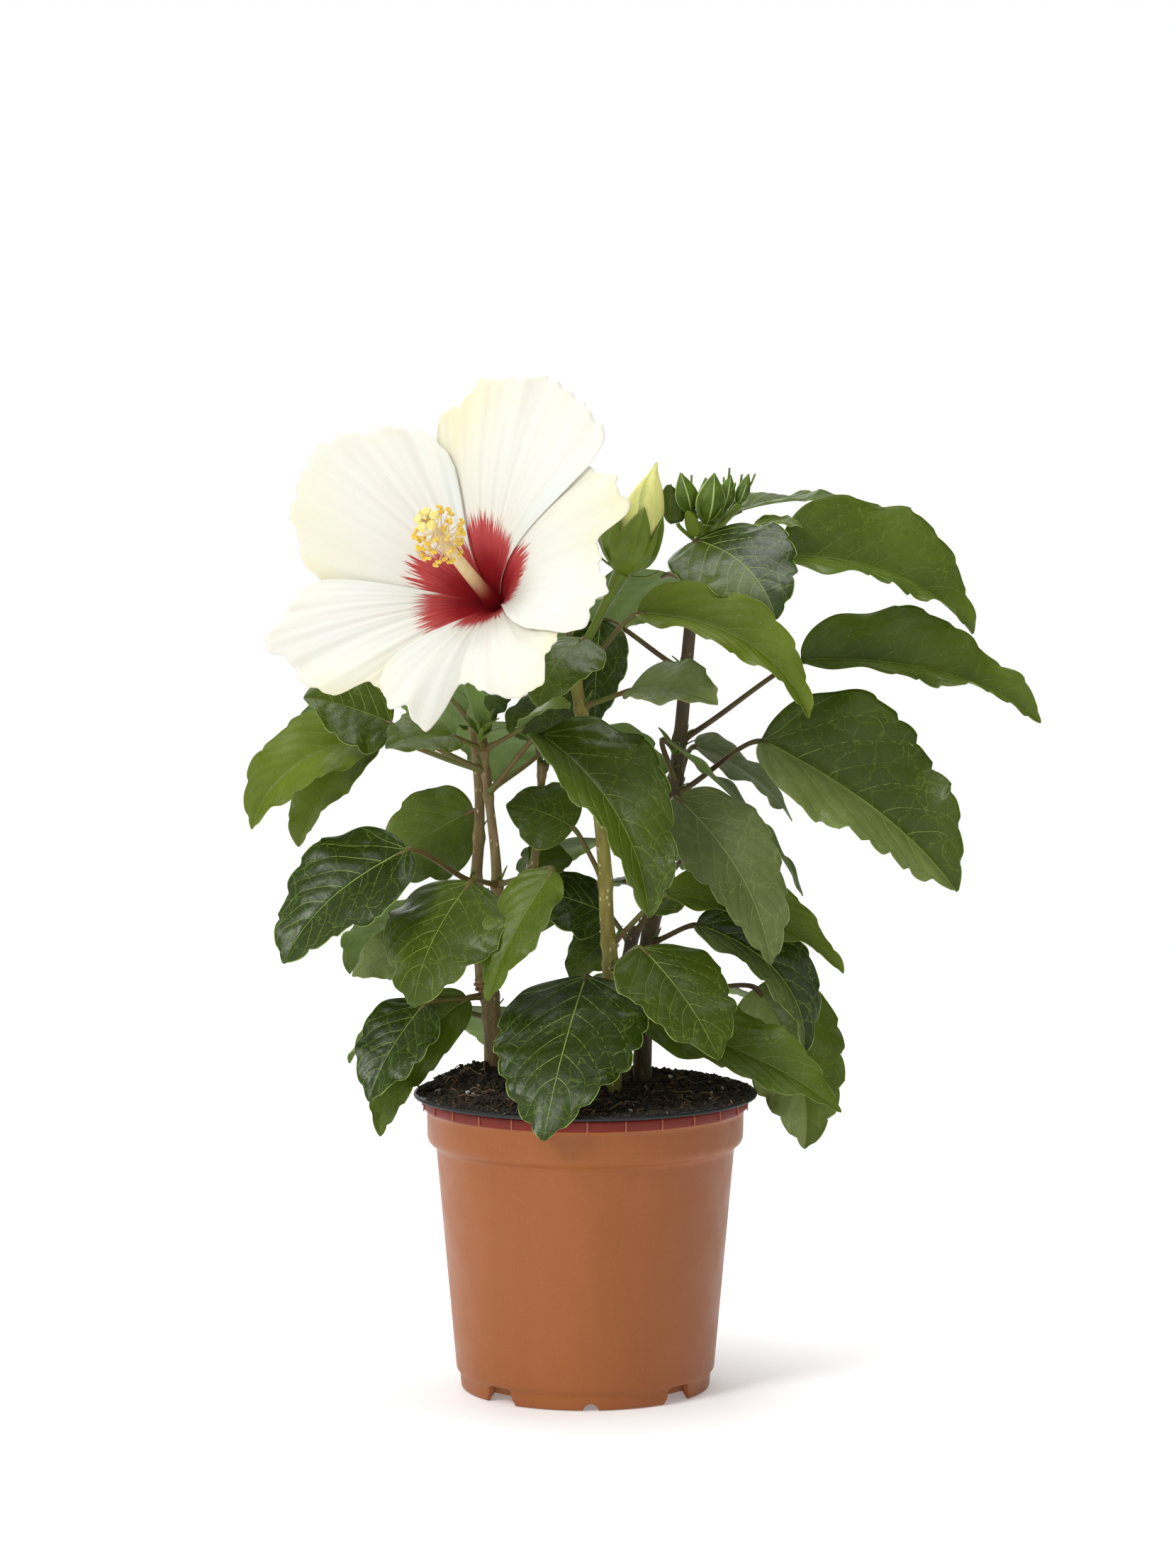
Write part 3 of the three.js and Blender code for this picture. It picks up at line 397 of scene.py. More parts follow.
leafVeins = {
    lookName: skinMaterial("vein " + lookName, paint(*row[4]), paint(*(0.88 * v for v in row[4])), 0.5)
    for lookName, row in leafLooks.items()
}
stalkGreen = skinMaterial("leaf stalk", paint(92, 98, 36), paint(100, 78, 38), 0.45, 90.0)
stalkRed = skinMaterial("dark leaf stalk", paint(76, 50, 32), paint(90, 78, 36), 0.45, 90.0)
barkLooks = {
    # name: bark, its streaks, lenticels, greener stretches
    "brown": ((134, 114, 74), (104, 84, 52), (188, 172, 126), (112, 104, 52)),
    "olive": ((150, 142, 70), (128, 112, 54), (216, 208, 154), (120, 122, 44)),
    "dark": ((84, 62, 46), (58, 42, 34), (128, 108, 78), (84, 78, 40)),
    "scar": ((150, 112, 78), (104, 74, 50), (178, 148, 112), (130, 96, 62)),
}
barks = {name: barkMaterial(name + " bark", *(paint(*colour) for colour in row))
         for name, row in barkLooks.items()}
print("leaf and bark materials made")

stems = {
    "stem_left": {"radius": (3.9, 3.4), "knot": 5.0, "path": [[-34, 8, 112], [-35, 7, 137], [-37, 6, 155]]},
    "stem_left_rear": {"radius": (2.7, 1.6), "path": [
        [-38.6, 7.6, 150], [-40, 10, 172], [-41, 12, 189], [-40, 13, 206], [-40, 14, 226], [-43, 14, 255]]},
    "stem_left_front": {"radius": (2.5, 1.3), "path": [
        [-34.4, 4.6, 150], [-33, 2, 170], [-33, 0, 190], [-34, -1, 205], [-37, -2, 231], [-38, -2, 247]]},
    "stem_left_side": {"radius": (2.1, 1.4), "path": [
        [-33, 2.5, 160], [-30, 6.5, 168], [-26, 8, 178], [-20, 12, 193], [-18, 13, 207], [-16, 14, 234]]},
    "stem_middle": {"radius": (3.0, 2.1), "path": [
        [11, 0, 104], [10, -2, 152], [8, -4, 177], [7, -6, 200], [4, -9, 225], [-4, -12, 268],
        [-6, -13, 275]]},
    "stem_dark": {"radius": (3.6, 2.0), "path": [
        [21, 24, 104], [24, 24, 165], [30, 24, 188], [33, 24, 216], [36, 22, 246], [40, 18, 291],
        [44, 14, 320]]},
    "stem_dark_low": {"radius": (2.6, 1.8), "path": [[14, 15, 104], [15, 16, 153], [19, 15, 172]]},
}
barkForm = {"sides": 28, "stepsPerMm": 1.1, "ridge": 0.03, "lump": 0.025, "nodeSwell": 0.55, "nodeLong": 2.2,
            "knotSwell": 1.5, "knotLong": 4.5}
lineSteps = 60
for stem in stems.values():
    stem["line"] = smoothPath(stem["path"], lineSteps)
    stem["nodes"] = []


# The point on a stem at a height, with the radius there.
def onStem(name, height):
    stem = stems[name]
    k = int(np.argmax(stem["line"][:, 2] >= height)) if stem["line"][-1, 2] >= height else lineSteps
    a, b = stem["radius"]
    return stem["line"][k], a + (b - a) * k / lineSteps


# A stem is rings along its curve. The radius tapers evenly, swells at each leaf node and at the
# pruned knot, and wavers by shallow ridges that run up the stem.
def addStem(bag, name, look=0):
    stem = stems[name]
    long = np.linalg.norm(np.diff(stem["line"], axis=0), axis=1).sum()
    steps = int(long * barkForm["stepsPerMm"])
    path = smoothPath(stem["path"], steps)
    u = np.linspace(0, 1, steps + 1)
    radius = stem["radius"][0] + (stem["radius"][1] - stem["radius"][0]) * u
    for height in stem["nodes"]:
        radius = radius + barkForm["nodeSwell"] * np.exp(-((path[:, 2] - height) / barkForm["nodeLong"]) ** 2)
    if "knot" in stem:
        swell = barkForm["knotSwell"] * np.exp(-((1 - u) * long / barkForm["knotLong"]) ** 2)
        radius = radius + swell - 0.8 * ease(u, 0.965, 1)
    radius = radius - radius * 0.25 * ease(u, 1 - 1.2 / long, 1)
    turn = np.arange(barkForm["sides"]) / barkForm["sides"] * turnFull
    along = path[:, 2][:, None]
    seed = 11 + len(name)
    ridges = ripple(np.cos(turn)[None] * 3, np.sin(turn)[None] * 3 + along * 0.03, seed, 0.9, 3)
    lumps = ripple(np.cos(turn)[None] * 2 + along * 0.22, np.sin(turn)[None] * 2 - along * 0.17, seed + 5,
                   1.0, 2)
    uneven = radius[:, None] * (1 + barkForm["ridge"] * ridges + barkForm["lump"] * lumps)
    addRings(bag, ringsAlong(path, uneven, barkForm["sides"]), look)


# Each leaf: [stalk length, compass, rise, blade length, width, compass, pitch, droop, roll, fold, look]
# and the look of its near half where that differs, a lighter look that paints sheen on that half
masses = {
    "leaves_top_right": ("stem_dark", 309, [
        [12, -100, 47, 62, 46, -55, -8, 48, 24, 7, "dark", "deep"],
        [24, 35, 50, 60, 32, 40, 11, 25, 0, 15, "deep"],
        [25, 2, 34, 19, 13, -8, 12, 40, 14, 15, "deep"]]),
    "leaves_right_upper": ("stem_dark", 295, [[35, 4, 23, 83, 54, 6, -2, 52, 46, 41, "mid"]]),
    "leaves_right_middle": ("stem_dark", 242, [[54, 3, 33, 99, 44, 8, 1, 40, 46, 41, "mid"]]),
    "leaves_right_lower": ("stem_dark", 219, [
        [40, -20, 32, 95, 72, -9, -26, 22, 46, 34, "deep", "grey"],
        [26, 66, 40, 50, 38, 14, -24, 35, 20, 10, "dull"]]),
    "leaves_under_bud": ("stem_middle", 267, [
        [36, -29, 43, 79, 32, -19, -4, 72, 45, 39, "light"],
        [20, -75, 50, 35, 32, -129, -24, 60, -10, 0, "deep"]]),
    "leaf_grey": ("stem_middle", 256, [[21, -20, 19, 40, 34, -33, 4, 20, 25, 20, "grey"]]),
    "leaf_by_bloom": ("stem_dark", 267, [[38, -169, 30, 41, 24, -100, -61, 40, 0, 10, "dark"]]),
    "leaves_heart": ("stem_left_front", 223, [
        [31, 28, 34, 31, 40, 76, 58, 10, -10, 5, "deep"],
        [34, -38, 41, 89, 50, -45, -26, 60, 14, 34, "deep", "mid"]]),
    "leaves_centre": ("stem_dark", 210, [[33, -87, 23, 76, 36, -43, -34, 55, 34, 18, "dull"]]),
    "leaf_centre_dark": ("stem_dark", 227, [[23, -106, 46, 80, 22, 1, -38, 28, 0, 10, "dull"]]),
    "leaves_light": ("stem_middle", 168, [[29, -13, 41, 74, 30, -5, -9, 40, 38, 35, "light"]]),
    "leaf_round": ("stem_middle", 156, [[34, -70, 20, 55, 45, -47, -33, 30, 10, 6, "deep"]]),
    "leaf_curled": ("stem_dark", 161, [[24, -39, 21, 71, 30, -16, -17, 80, 42, 34, "dark", "dull"]]),
    "leaves_low_right": ("stem_dark", 138, [
        [32, -92, -6, 84, 33, -19, -12, 27, 42, 26, "mid"],
        [43, 9, 5, 69, 41, -46, -43, 55, 49, 8, "mid", "grey"]]),
    "leaf_front": ("stem_middle", 144, [[19, -126, 29, 81, 56, -101, -25, 45, 0, 0, "dark"]]),
    "leaves_left_front": ("stem_left_front", 189, [
        [42, -59, 12, 54, 27, -146, -50, 30, -20, 14, "mid"],
        [22, -115, 8, 55, 52, -136, -41, 35, -10, 0, "deep"]]),
    "leaf_left_wide": ("stem_left_rear", 189, [[40, -132, 23, 65, 46, -163, -25, 38, -36, 12, "dark"]]),
    "leaf_left_behind": ("stem_left_rear", 206, [[30, 95, 15, 50, 40, 171, -28, 28, -58, 0, "mid"]]),
    "leaf_left_pale": ("stem_left_rear", 167, [[20, 172, -5, 32, 28, 176, -16, 30, -40, 5, "grey"]]),
    "leaves_low_left": ("stem_left", 147, [
        [27, -153, -3, 44, 31, -142, -42, 25, -25, 12, "dark"],
        [9, -154, 0, 66, 24, -157, -33, 48, -60, 20, "mid"]]),
    "leaves_far_left": ("stem_left_front", 232, [
        [44, -176, 18, 60, 33, -166, -13, 66, -46, 26, "light"],
        [42, 174, 16, 51, 30, -172, -37, 50, -42, 26, "light"],
        [40, -164, 27, 36, 42, -162, 24, 12, -50, 12, "deep"]]),
    "leaves_young": ("stem_left_front", 240, [
        [16, -136, 20, 33, 26, -137, 4, 25, -30, 15, "mid"],
        [7, -104, 35, 31, 16, -127, 74, 20, -20, 20, "young"],
        [18, -30, 28, 26, 20, -37, 39, 50, 20, 15, "young"]]),
    "leaf_inner_high": ("stem_middle", 191, [[22, 157, 55, 28, 28, 165, 28, 25, -60, 0, "deep"]]),
    "leaf_inner_small": ("stem_left_side", 193, [[8, 98, 18, 17, 24, 13, 10, 20, 30, 10, "mid"]]),
    "leaf_inner": ("stem_dark_low", 166, [[14, 150, 45, 36, 34, -170, 24, 30, -40, 0, "dark"]]),
    "leaf_inner_right": ("stem_dark_low", 170, [[12, -40, 50, 27, 18, -12, 28, 10, 40, 10, "deep"]]),
    "leaf_inner_low": ("stem_middle", 160, [[28, 92, 10, 21, 26, -172, -38, 20, -30, 10, "deep"]]),
}
# Rear masses: name, stem, height on it, compass, count, rise, blade length
rearMasses = [
    ("rear_high_left", "stem_left_rear", 250, 128, 2, 48, 62),
    ("rear_high_side", "stem_left_side", 230, 78, 2, 50, 64),
    ("rear_high_middle", "stem_middle", 272, 92, 1, 55, 70),
    ("rear_high_dark", "stem_dark", 298, 90, 2, 8, 52),
    ("rear_mid_dark", "stem_dark", 190, 96, 2, 20, 56),
    ("rear_mid_middle", "stem_dark", 180, 130, 1, 20, 64),
    ("rear_mid_left", "stem_left_rear", 180, 106, 2, 4, 50),
    ("rear_low_left", "stem_left", 138, 130, 2, 10, 44),
    ("rear_low_dark", "stem_dark", 142, 66, 2, 10, 62),
    ("rear_low_middle", "stem_dark_low", 135, 102, 1, 14, 62),
]
rear = {"spread": 62, "wander": 16, "stalk": (18, 12), "slim": 0.66, "pitch": -14, "pitchVary": 16,
        "droop": (42, 26), "roll": 18, "fold": 8}
rearLookOrder = ["deep", "mid", "dark", "mid", "deep"]


# The leaves of a rear mass fan out evenly about its compass, each growth value with a seeded wander.
def rearLeaves(compass, count, rise, length, seed):
    leaves = []
    for k in range(count):
        roll = [chance(seed * 7 + k, n) - 0.5 for n in range(9)]
        turn = compass + rear["spread"] * (k - (count - 1) / 2) + rear["wander"] * roll[1]
        blade = length * (1 + 0.2 * roll[2])
        leaves.append([
            rear["stalk"][0] + rear["stalk"][1] * (roll[3] + 0.5), turn, rise + 12 * roll[4], blade,
            blade * rear["slim"], turn + rear["wander"] * roll[5],
            rear["pitch"] + rear["pitchVary"] * roll[6],
            rear["droop"][0] + rear["droop"][1] * roll[7], rear["roll"] * 2 * roll[8], rear["fold"],
            rearLookOrder[(seed + k) % len(rearLookOrder)]])
    return leaves


for number, (name, stemName, at, compass, count, rise, length) in enumerate(rearMasses, 1):
    masses[name] = (stemName, at, rearLeaves(compass, count, rise, length, number))

blade = {
    "rows": 100, "columns": 12, "thick": 0.42, "base": 0.47, "tip": 0.88, "cup": 0.1, "bow": 0.16,
    "midribSteps": 96, "sag": 1.6, "lump": 0.0008, "lumpWide": 3.4,
    "toothEvery": 9.5, "toothDeep": 0.052, "toothStep": 0.86, "wave": 0.026, "puff": 0.009, "veinGap": 0.075,
}
# Side veins: where each leaves the midrib and where it meets the margin, as shares of the length
sideVeins = [(0.0, 0.17), (0.0, 0.43), (0.16, 0.57), (0.30, 0.69), (0.43, 0.79), (0.56, 0.87), (0.69, 0.94)]
veinBend = 1.2
peakAt = blade["base"] / (blade["base"] + blade["tip"])
peakHigh = peakAt ** blade["base"] * (1 - peakAt) ** blade["tip"]


# Half width along a blade: a rounded base, widest at a third, drawn out to the tip.
def halfWidth(s):
    s = np.clip(s, 0, 1)
    return s ** blade["base"] * (1 - s) ** blade["tip"] / peakHigh


# Points of a blade at shares s along and t across, with its upward directions. The midrib sets out
# at a pitch and droops ever faster; the halves lift by the fold, and the whole rolls about the
# midrib. The margin is stepped in forward teeth and waves, and the skin puffs up between the veins.
def bladePoints(leaf, base, seed, s, t):
    length, width, compass, pitch, droop, roll, fold = leaf[3:10]
    fine = np.linspace(0, 1, blade["midribSteps"] + 1)
    middle = (fine[1:] + fine[:-1]) / 2
    steps = heading(compass, pitch - droop * middle ** blade["sag"]) * length / blade["midribSteps"]
    path = base + np.vstack([np.zeros(3), np.cumsum(steps, 0)])
    spine = np.stack([np.interp(s, fine, path[:, k]) for k in range(3)], -1)
    along = heading(compass, pitch - droop * np.clip(s, 0, 1) ** blade["sag"])
    level = heading(compass + 90, np.zeros_like(s))
    above = np.cross(along, level)
    tilt = np.radians(roll)
    across = level * np.cos(tilt) + above * np.sin(tilt)
    up = np.cross(along, across)
    half = halfWidth(s) * width / 2
    edge = np.abs(t)
    side = np.sign(t)

    lean = chance(seed, 3) - 0.5
    bow = length * blade["bow"] * lean * s ** 2
    teeth = np.round(length / blade["toothEvery"])
    phase = np.mod(teeth * s + 0.35 * side + chance(seed, 4), 1)
    step = blade["toothStep"]
    scallop = np.where(phase < step, np.sin(np.pi / 2 * phase / step) ** 0.6, (1 - phase) / (1 - step)) - 0.7
    ramp = ease(s, 0.2, 0.48) * np.minimum(1, half / (0.12 * width))
    out = edge * half + edge ** 5 * blade["toothDeep"] * width * scallop * ramp

    wavePhase = turnFull * (chance(seed, 5) + 0.27 * side)
    wave = blade["wave"] * length * edge ** 2 * ease(s, 0.0, 0.25) * (
        np.sin(turnFull * s * 2.1 + wavePhase) + 0.5 * np.sin(turnFull * s * 4.3 + 2 * wavePhase))
    wave = wave * np.minimum(1, half / (0.25 * width))
    gap = blade["veinGap"]
    calm = 1 - 0.9 * np.exp(-(edge * half / (gap * length * 0.5)) ** 2)
    for leave, meet in sideVeins:
        off = (s - leave - (meet - leave) * edge ** veinBend) / gap
        calm = calm * (1 - 0.85 * np.exp(-(off * 2.2) ** 2))
    puff = blade["puff"] * length * calm * np.minimum(1, half / (0.3 * width)) * (1 - 0.6 * edge ** 6)
    lumps = blade["lump"] * length * ripple(s * length, t * half, int(seed * 10), blade["lumpWide"], 2)
    rise = (half * (edge * np.sin(np.radians(fold)) - blade["cup"] * t ** 2) + wave + puff
            + lumps * ease(half, 0, 4))
    x = side * out * np.cos(np.radians(fold)) + bow
    return spine + across * x[..., None] + up * rise[..., None], up


# A blade is one closed shell: its loops run over the upper side and back under the lower.
def addBlade(bag, leaf, base, seed, look, nearSheenLook):
    length = leaf[3]
    rows = int(np.clip(blade["rows"] * length / 80, 36, 116))
    s = (1 - np.cos(np.linspace(0.045, 1, rows) * np.pi * 0.94)) / 2
    s = s / s[-1] * 0.995
    even = np.linspace(-1, 1, 2 * blade["columns"] + 1)
    t = np.sin(even * np.pi / 2) * 0.35 + even * 0.65
    sGrid, tGrid = np.meshgrid(s, t, indexing="ij")
    top, up = bladePoints(leaf, base, seed, sGrid, tGrid)
    thick = blade["thick"] * (1 - 0.85 * np.abs(tGrid) ** 4)
    under = top - up * (thick + 0.08)[..., None]
    loops = np.concatenate([top, under[:, ::-1]], 1)
    columns = len(t)
    half = columns // 2
    # The near half takes its own look; where that look is lighter it is painted sheen.
    looks = np.concatenate([np.full(half, nearSheenLook), np.full(columns - 1 - half, look),
                            np.full(columns + 1, 0)])
    addRings(bag, loops, looks)


# A vein is a low ridge on a blade: a three-cornered loop carried along the vein's line, its crest
# above the skin, narrowing to its end by the given share.
def addVein(bag, leaf, base, seed, s, t, ds, dt, high, look, narrow=0.75):
    q = np.linspace(0, 1, len(s))
    thin = (1 - narrow * q) * ease(q, -0.02, 0.05)
    left, up = bladePoints(leaf, base, seed, s + ds * thin, t + dt * thin)
    right, _ = bladePoints(leaf, base, seed, s - ds * thin, t - dt * thin)
    crest = (left + right) / 2 + up * (high * thin)[:, None]
    addRings(bag, np.stack([left - up * 0.1, crest, right - up * 0.1], 1), look)


# How far along the blade side vein k is at a share q of its way to the margin.
def onSideVein(k, q):
    leave, meet = sideVeins[k]
    return leave + (meet - leave) * q ** veinBend


# Half widths: the midrib's per length, and the side veins' and links' as shares of the midrib's
veins = {"broad": 0.0165, "basal": 0.5, "side": 0.36, "link": 0.15, "rim": 0.2, "rimHigh": 0.12}


# The veins of a blade: its midrib, side veins that run out to the teeth, links that arch from one
# side vein to the next, and a pale rim along the margin.
def addVeins(bag, leaf, base, seed, look):
    length, width = leaf[3:5]
    s = np.linspace(0.0, 0.95, 40)
    half = np.maximum(halfWidth(s) * width / 2, 2.0)
    broad = veins["broad"] * length ** 0.8
    addVein(bag, leaf, base, seed, s, np.zeros_like(s), 0.0, broad / half, broad * 0.5 + 0.1, look)
    for side in (-1, 1):
        for k, (leave, _) in enumerate(sideVeins):
            q = np.linspace(0.0, 0.96, 18)
            wander = 0.016 * np.sin(q * 9 + seed + leave * 20) * q
            fine = broad * (veins["basal"] if leave < 0.2 else veins["side"])
            addVein(bag, leaf, base, seed, onSideVein(k, q) + wander, side * q, fine / length,
                    -side * 0.4 * fine / (width / 2), fine * 0.5 + 0.14, look, 0.6)
        for k in range(1, len(sideVeins) - 1):
            a, b = (0.74 + 0.1 * (chance(seed + k, side) - 0.5),
                    0.66 + 0.1 * (chance(seed + k, side + 3) - 0.5))
            q = np.linspace(0, 1, 10)
            across = a + (b - a) * q + 0.12 * np.sin(q * np.pi)
            along = onSideVein(k, a) + (onSideVein(k + 1, b) - onSideVein(k, a)) * q
            addVein(bag, leaf, base, seed, along, side * across, 0.0,
                    veins["link"] * broad / (width / 2), 0.16, look, 0.1)
        s = np.linspace(0.012, 0.985, int(np.clip(length * 0.9, 30, 80)))
        rim = veins["rim"] / np.maximum(halfWidth(s) * width / 2, 0.8)
        addVein(bag, leaf, base, seed, s, side * (1 - rim * 0.4), 0.0, rim, veins["rimHigh"], look, 0.0)


# A stalk leaves its stem node and sags a little, then turns into its blade's own direction. Its
# radius swells where it is seated and under the blade.
def addStalk(bag, leaf, root, base):
    bladeLong, _, compass, pitch = leaf[3:7]
    straight = base - root
    long = np.linalg.norm(straight)
    into = heading(compass, np.array(pitch))
    pullOut = unit(straight + point(0, 0, -0.10 * long)) * long
    pullIn = unit(unit(straight) * 0.45 + into * 0.75) * long * 0.55
    tip = base + into * min(5.0, bladeLong * 0.08) - point(0, 0, 0.4)
    path = np.vstack([hermite(root, base - point(0, 0, 0.5), pullOut, pullIn, 18)[:-1],
                      base - point(0, 0, 0.5), tip])
    q = np.linspace(0, 1, len(path))
    slim = 0.75 + 0.25 * min(1.0, bladeLong / 60)
    radius = slim * (1.15 - 0.25 * q + 0.75 * np.exp(-(q * long / 2.4) ** 2)
                     + 0.30 * np.exp(-((1 - q) * long / 5) ** 2) - 0.45 * ease(q, 0.95, 1))
    addRings(bag, ringsAlong(path, radius, 10))


leafGroups = ("front", "right", "left", "behind")
leafBags = {group: newBag() for group in leafGroups}
veinBags = {group: newBag() for group in leafGroups}
stalkBags = {"olive": newBag(), "dark": newBag()}
lookNames = list(leafLooks)
leafNodes = {group: [] for group in leafGroups}
for number, (name, (stemName, at, leaves)) in enumerate(masses.items()):
    where, stemRadius = onStem(stemName, at)
    stems[stemName]["nodes"].append(at)
    if name.startswith("rear"):
        group = "behind"
    elif where[0] > 15 or name == "leaves_under_bud":
        group = "right"
    else:
        group = "left" if stemName.startswith("stem_left") else "front"
    leafNodes[group].append(name)
    for k, leaf in enumerate(leaves):
        seed = number * 3.7 + k * 1.3 + 0.5
        stalkLong, stalkCompass, stalkRise = leaf[:3]
        # A lighter near-half look paints the sheen that falls on that half.
        look, nearSheenLook = leaf[10], leaf[-1]
        base = where + heading(stalkCompass, np.array(stalkRise)) * stalkLong
        root = where + heading(stalkCompass, np.array(0.0)) * stemRadius * 0.5
        lookNumber = lookNames.index(look) + 1
        addBlade(leafBags[group], leaf, base, seed, lookNumber, lookNames.index(nearSheenLook) + 1)
        addVeins(veinBags[group], leaf, base, seed, lookNumber - 1)
        addStalk(stalkBags["dark" if stemName.startswith("stem_dark") else "olive"], leaf, root, base)

bladeMaterials = [leafUnder] + [leafTops[name] for name in lookNames]
for group, bag in leafBags.items():
    makePiece("leaves_of_" + group, bag, bladeMaterials, leafNodes[group])
for group, bag in veinBags.items():
    makePiece("leaf_veins_of_" + group, bag, [leafVeins[name] for name in lookNames])
makePiece("leaf_stalks", stalkBags["olive"], [stalkGreen])
makePiece("leaf_stalks_dark", stalkBags["dark"], [stalkRed])

stemBags = {"bark": newBag(), "dark_bark": newBag()}
# The scar of the pruned top: three wrinkled collars one above the other, by their rise and radius
scar = {"height": 151, "collars": [(-1.6, 5.0), (0.6, 5.5), (2.6, 4.7)], "thick": 2.2, "wrinkle": 0.06,
        "sides": 36, "seed": 61}
knotTop, _ = onStem("stem_left", scar["height"])
for k, (rise, wide) in enumerate(scar["collars"]):
    q = np.linspace(0, 1, 9)
    turn = np.arange(scar["sides"]) / scar["sides"] * turnFull
    collar = wide * np.sin(np.pi * np.clip(q, 0.04, 0.96)) ** 0.35
    wrinkles = ripple(np.cos(turn)[None] * 2 + q[:, None], np.sin(turn)[None] * 2, scar["seed"] + k, 0.6, 3)
    uneven = 1 + scar["wrinkle"] * wrinkles
    up = knotTop + np.outer(rise + scar["thick"] * (q - 0.5), unit(point(-0.1 - 0.1 * k, -0.1, 1)))
    addRings(stemBags["bark"], ringsAlong(up, collar[:, None] * uneven, scar["sides"]), 2)
for name in stems:
    addStem(stemBags["dark_bark" if name.startswith("stem_dark") else "bark"], name,
            int(name == "stem_middle"))
makePiece("stems_olive", stemBags["bark"], [barks["brown"], barks["olive"], barks["scar"]],
          [name for name in stems if not name.startswith("stem_dark")])
makePiece("stems_dark", stemBags["dark_bark"], [barks["dark"]],
          [name for name in stems if name.startswith("stem_dark")])
print("stems and leaves done")

bractGreen = skinMaterial("bract green", paint(80, 104, 20), paint(98, 122, 32), 0.48)
budGreen = skinMaterial("bud green", paint(92, 112, 18), paint(104, 124, 28), 0.46, 160.0)


# A bract is a slim pointed blade: it leaves its foot along an axis, leans out and curls by its
# spread, and is widest low down; its halves are folded up a little.
def addBract(bag, foot, axis, turn, length, width, lean, curl, look=0, thick=0.5):
    first = point(1, 0, 0) - axis[0] * axis
    first = unit(first if np.linalg.norm(first) > 0.2 else point(0, 1, 0) - axis[1] * axis)
    side = first * np.cos(turn) + np.cross(axis, first) * np.sin(turn)
    cross = np.cross(axis, side)
    s = np.linspace(0.03, 0.99, 14)
    angle = lean + curl * s
    steps = (np.cos(angle)[:, None] * axis + np.sin(angle)[:, None] * side) * length / len(s)
    spine = foot + np.cumsum(steps, 0)
    up = np.cos(angle)[:, None] * side - np.sin(angle)[:, None] * axis
    half = width / 2 * (s ** 0.35 * (1 - s) ** 0.6) / 0.66
    t = np.linspace(-1, 1, 5)
    top = (spine[:, None] + cross * (half[:, None] * t)[..., None]
           - up[:, None] * (0.25 * half[:, None] * np.abs(t))[..., None])
    under = top - up[:, None] * (thick * (1 - 0.6 * t ** 2))[:, None]
    addRings(bag, np.concatenate([top, under[:, ::-1]], 1), look)


# Two slim stipules stand at the foot of each leaf
stipule = {"apart": 35, "long": 4.5, "vary": 2.5, "wide": 1.0, "lean": 0.25, "curl": 0.7}
shoots = newBag()
for name, stem in stems.items():
    for k, height in enumerate(stem["nodes"]):
        where, radius = onStem(name, height)
        seed = height + k
        compass = next(leaves[0][1] for stemName, at, leaves in masses.values()
                       if (stemName, at) == (name, height))
        axis = unit(heading(compass, np.array(0.0)) * 0.5 + point(0, 0, 1))
        for side in (-1, 1):
            beside = heading(compass + side * stipule["apart"], np.array(0.0))
            start = where + beside * radius * 0.8 + point(0, 0, 1.0)
            addBract(shoots, start, axis, side * 1.2 + chance(seed, 2),
                     stipule["long"] + stipule["vary"] * chance(seed, side + 4),
                     stipule["wide"], stipule["lean"], stipule["curl"])
# Young shoots with a few unfolding bracts: place and number of bracts
youngShoots = [((-39, -13, 245), 11), ((36.5, 20, 262), 5), ((33.5, 22, 236), 6), ((-16, 14, 236), 7),
               ((-43, 14, 256), 7)]
for number, (place, count) in enumerate(youngShoots):
    for k in range(count):
        size = 8 + 7 * chance(number + 3, k)
        turn = k * 2.4
        addBract(shoots, point(*place) - point(0, 0, 1), unit(point(0.1, -0.15, 1)), turn, size,
                 2.6 + 1.4 * chance(number, k), 0.15 + 0.5 * chance(number + 7, k), 0.7)
makePiece("young_shoots", shoots, [bractGreen])

bloom = {
    "root": (-33, -25, 296), "axis": (-0.315, -0.87, 0.38),
    "profile": [(3, 0), (10, 18), (30, 36), (67, 46)],      # radius and rise of the funnel's curve
    "claw": 0.72, "overlap": 0.65, "stack": 1.5, "thick": 0.35, "rows": 72, "columns": 104,
    "ruffles": (1.5, 0.9, 0.5),     # height of the wide, the middle and the fine ones
    "foldEvery": 0.35, "foldWide": 0.5,
}
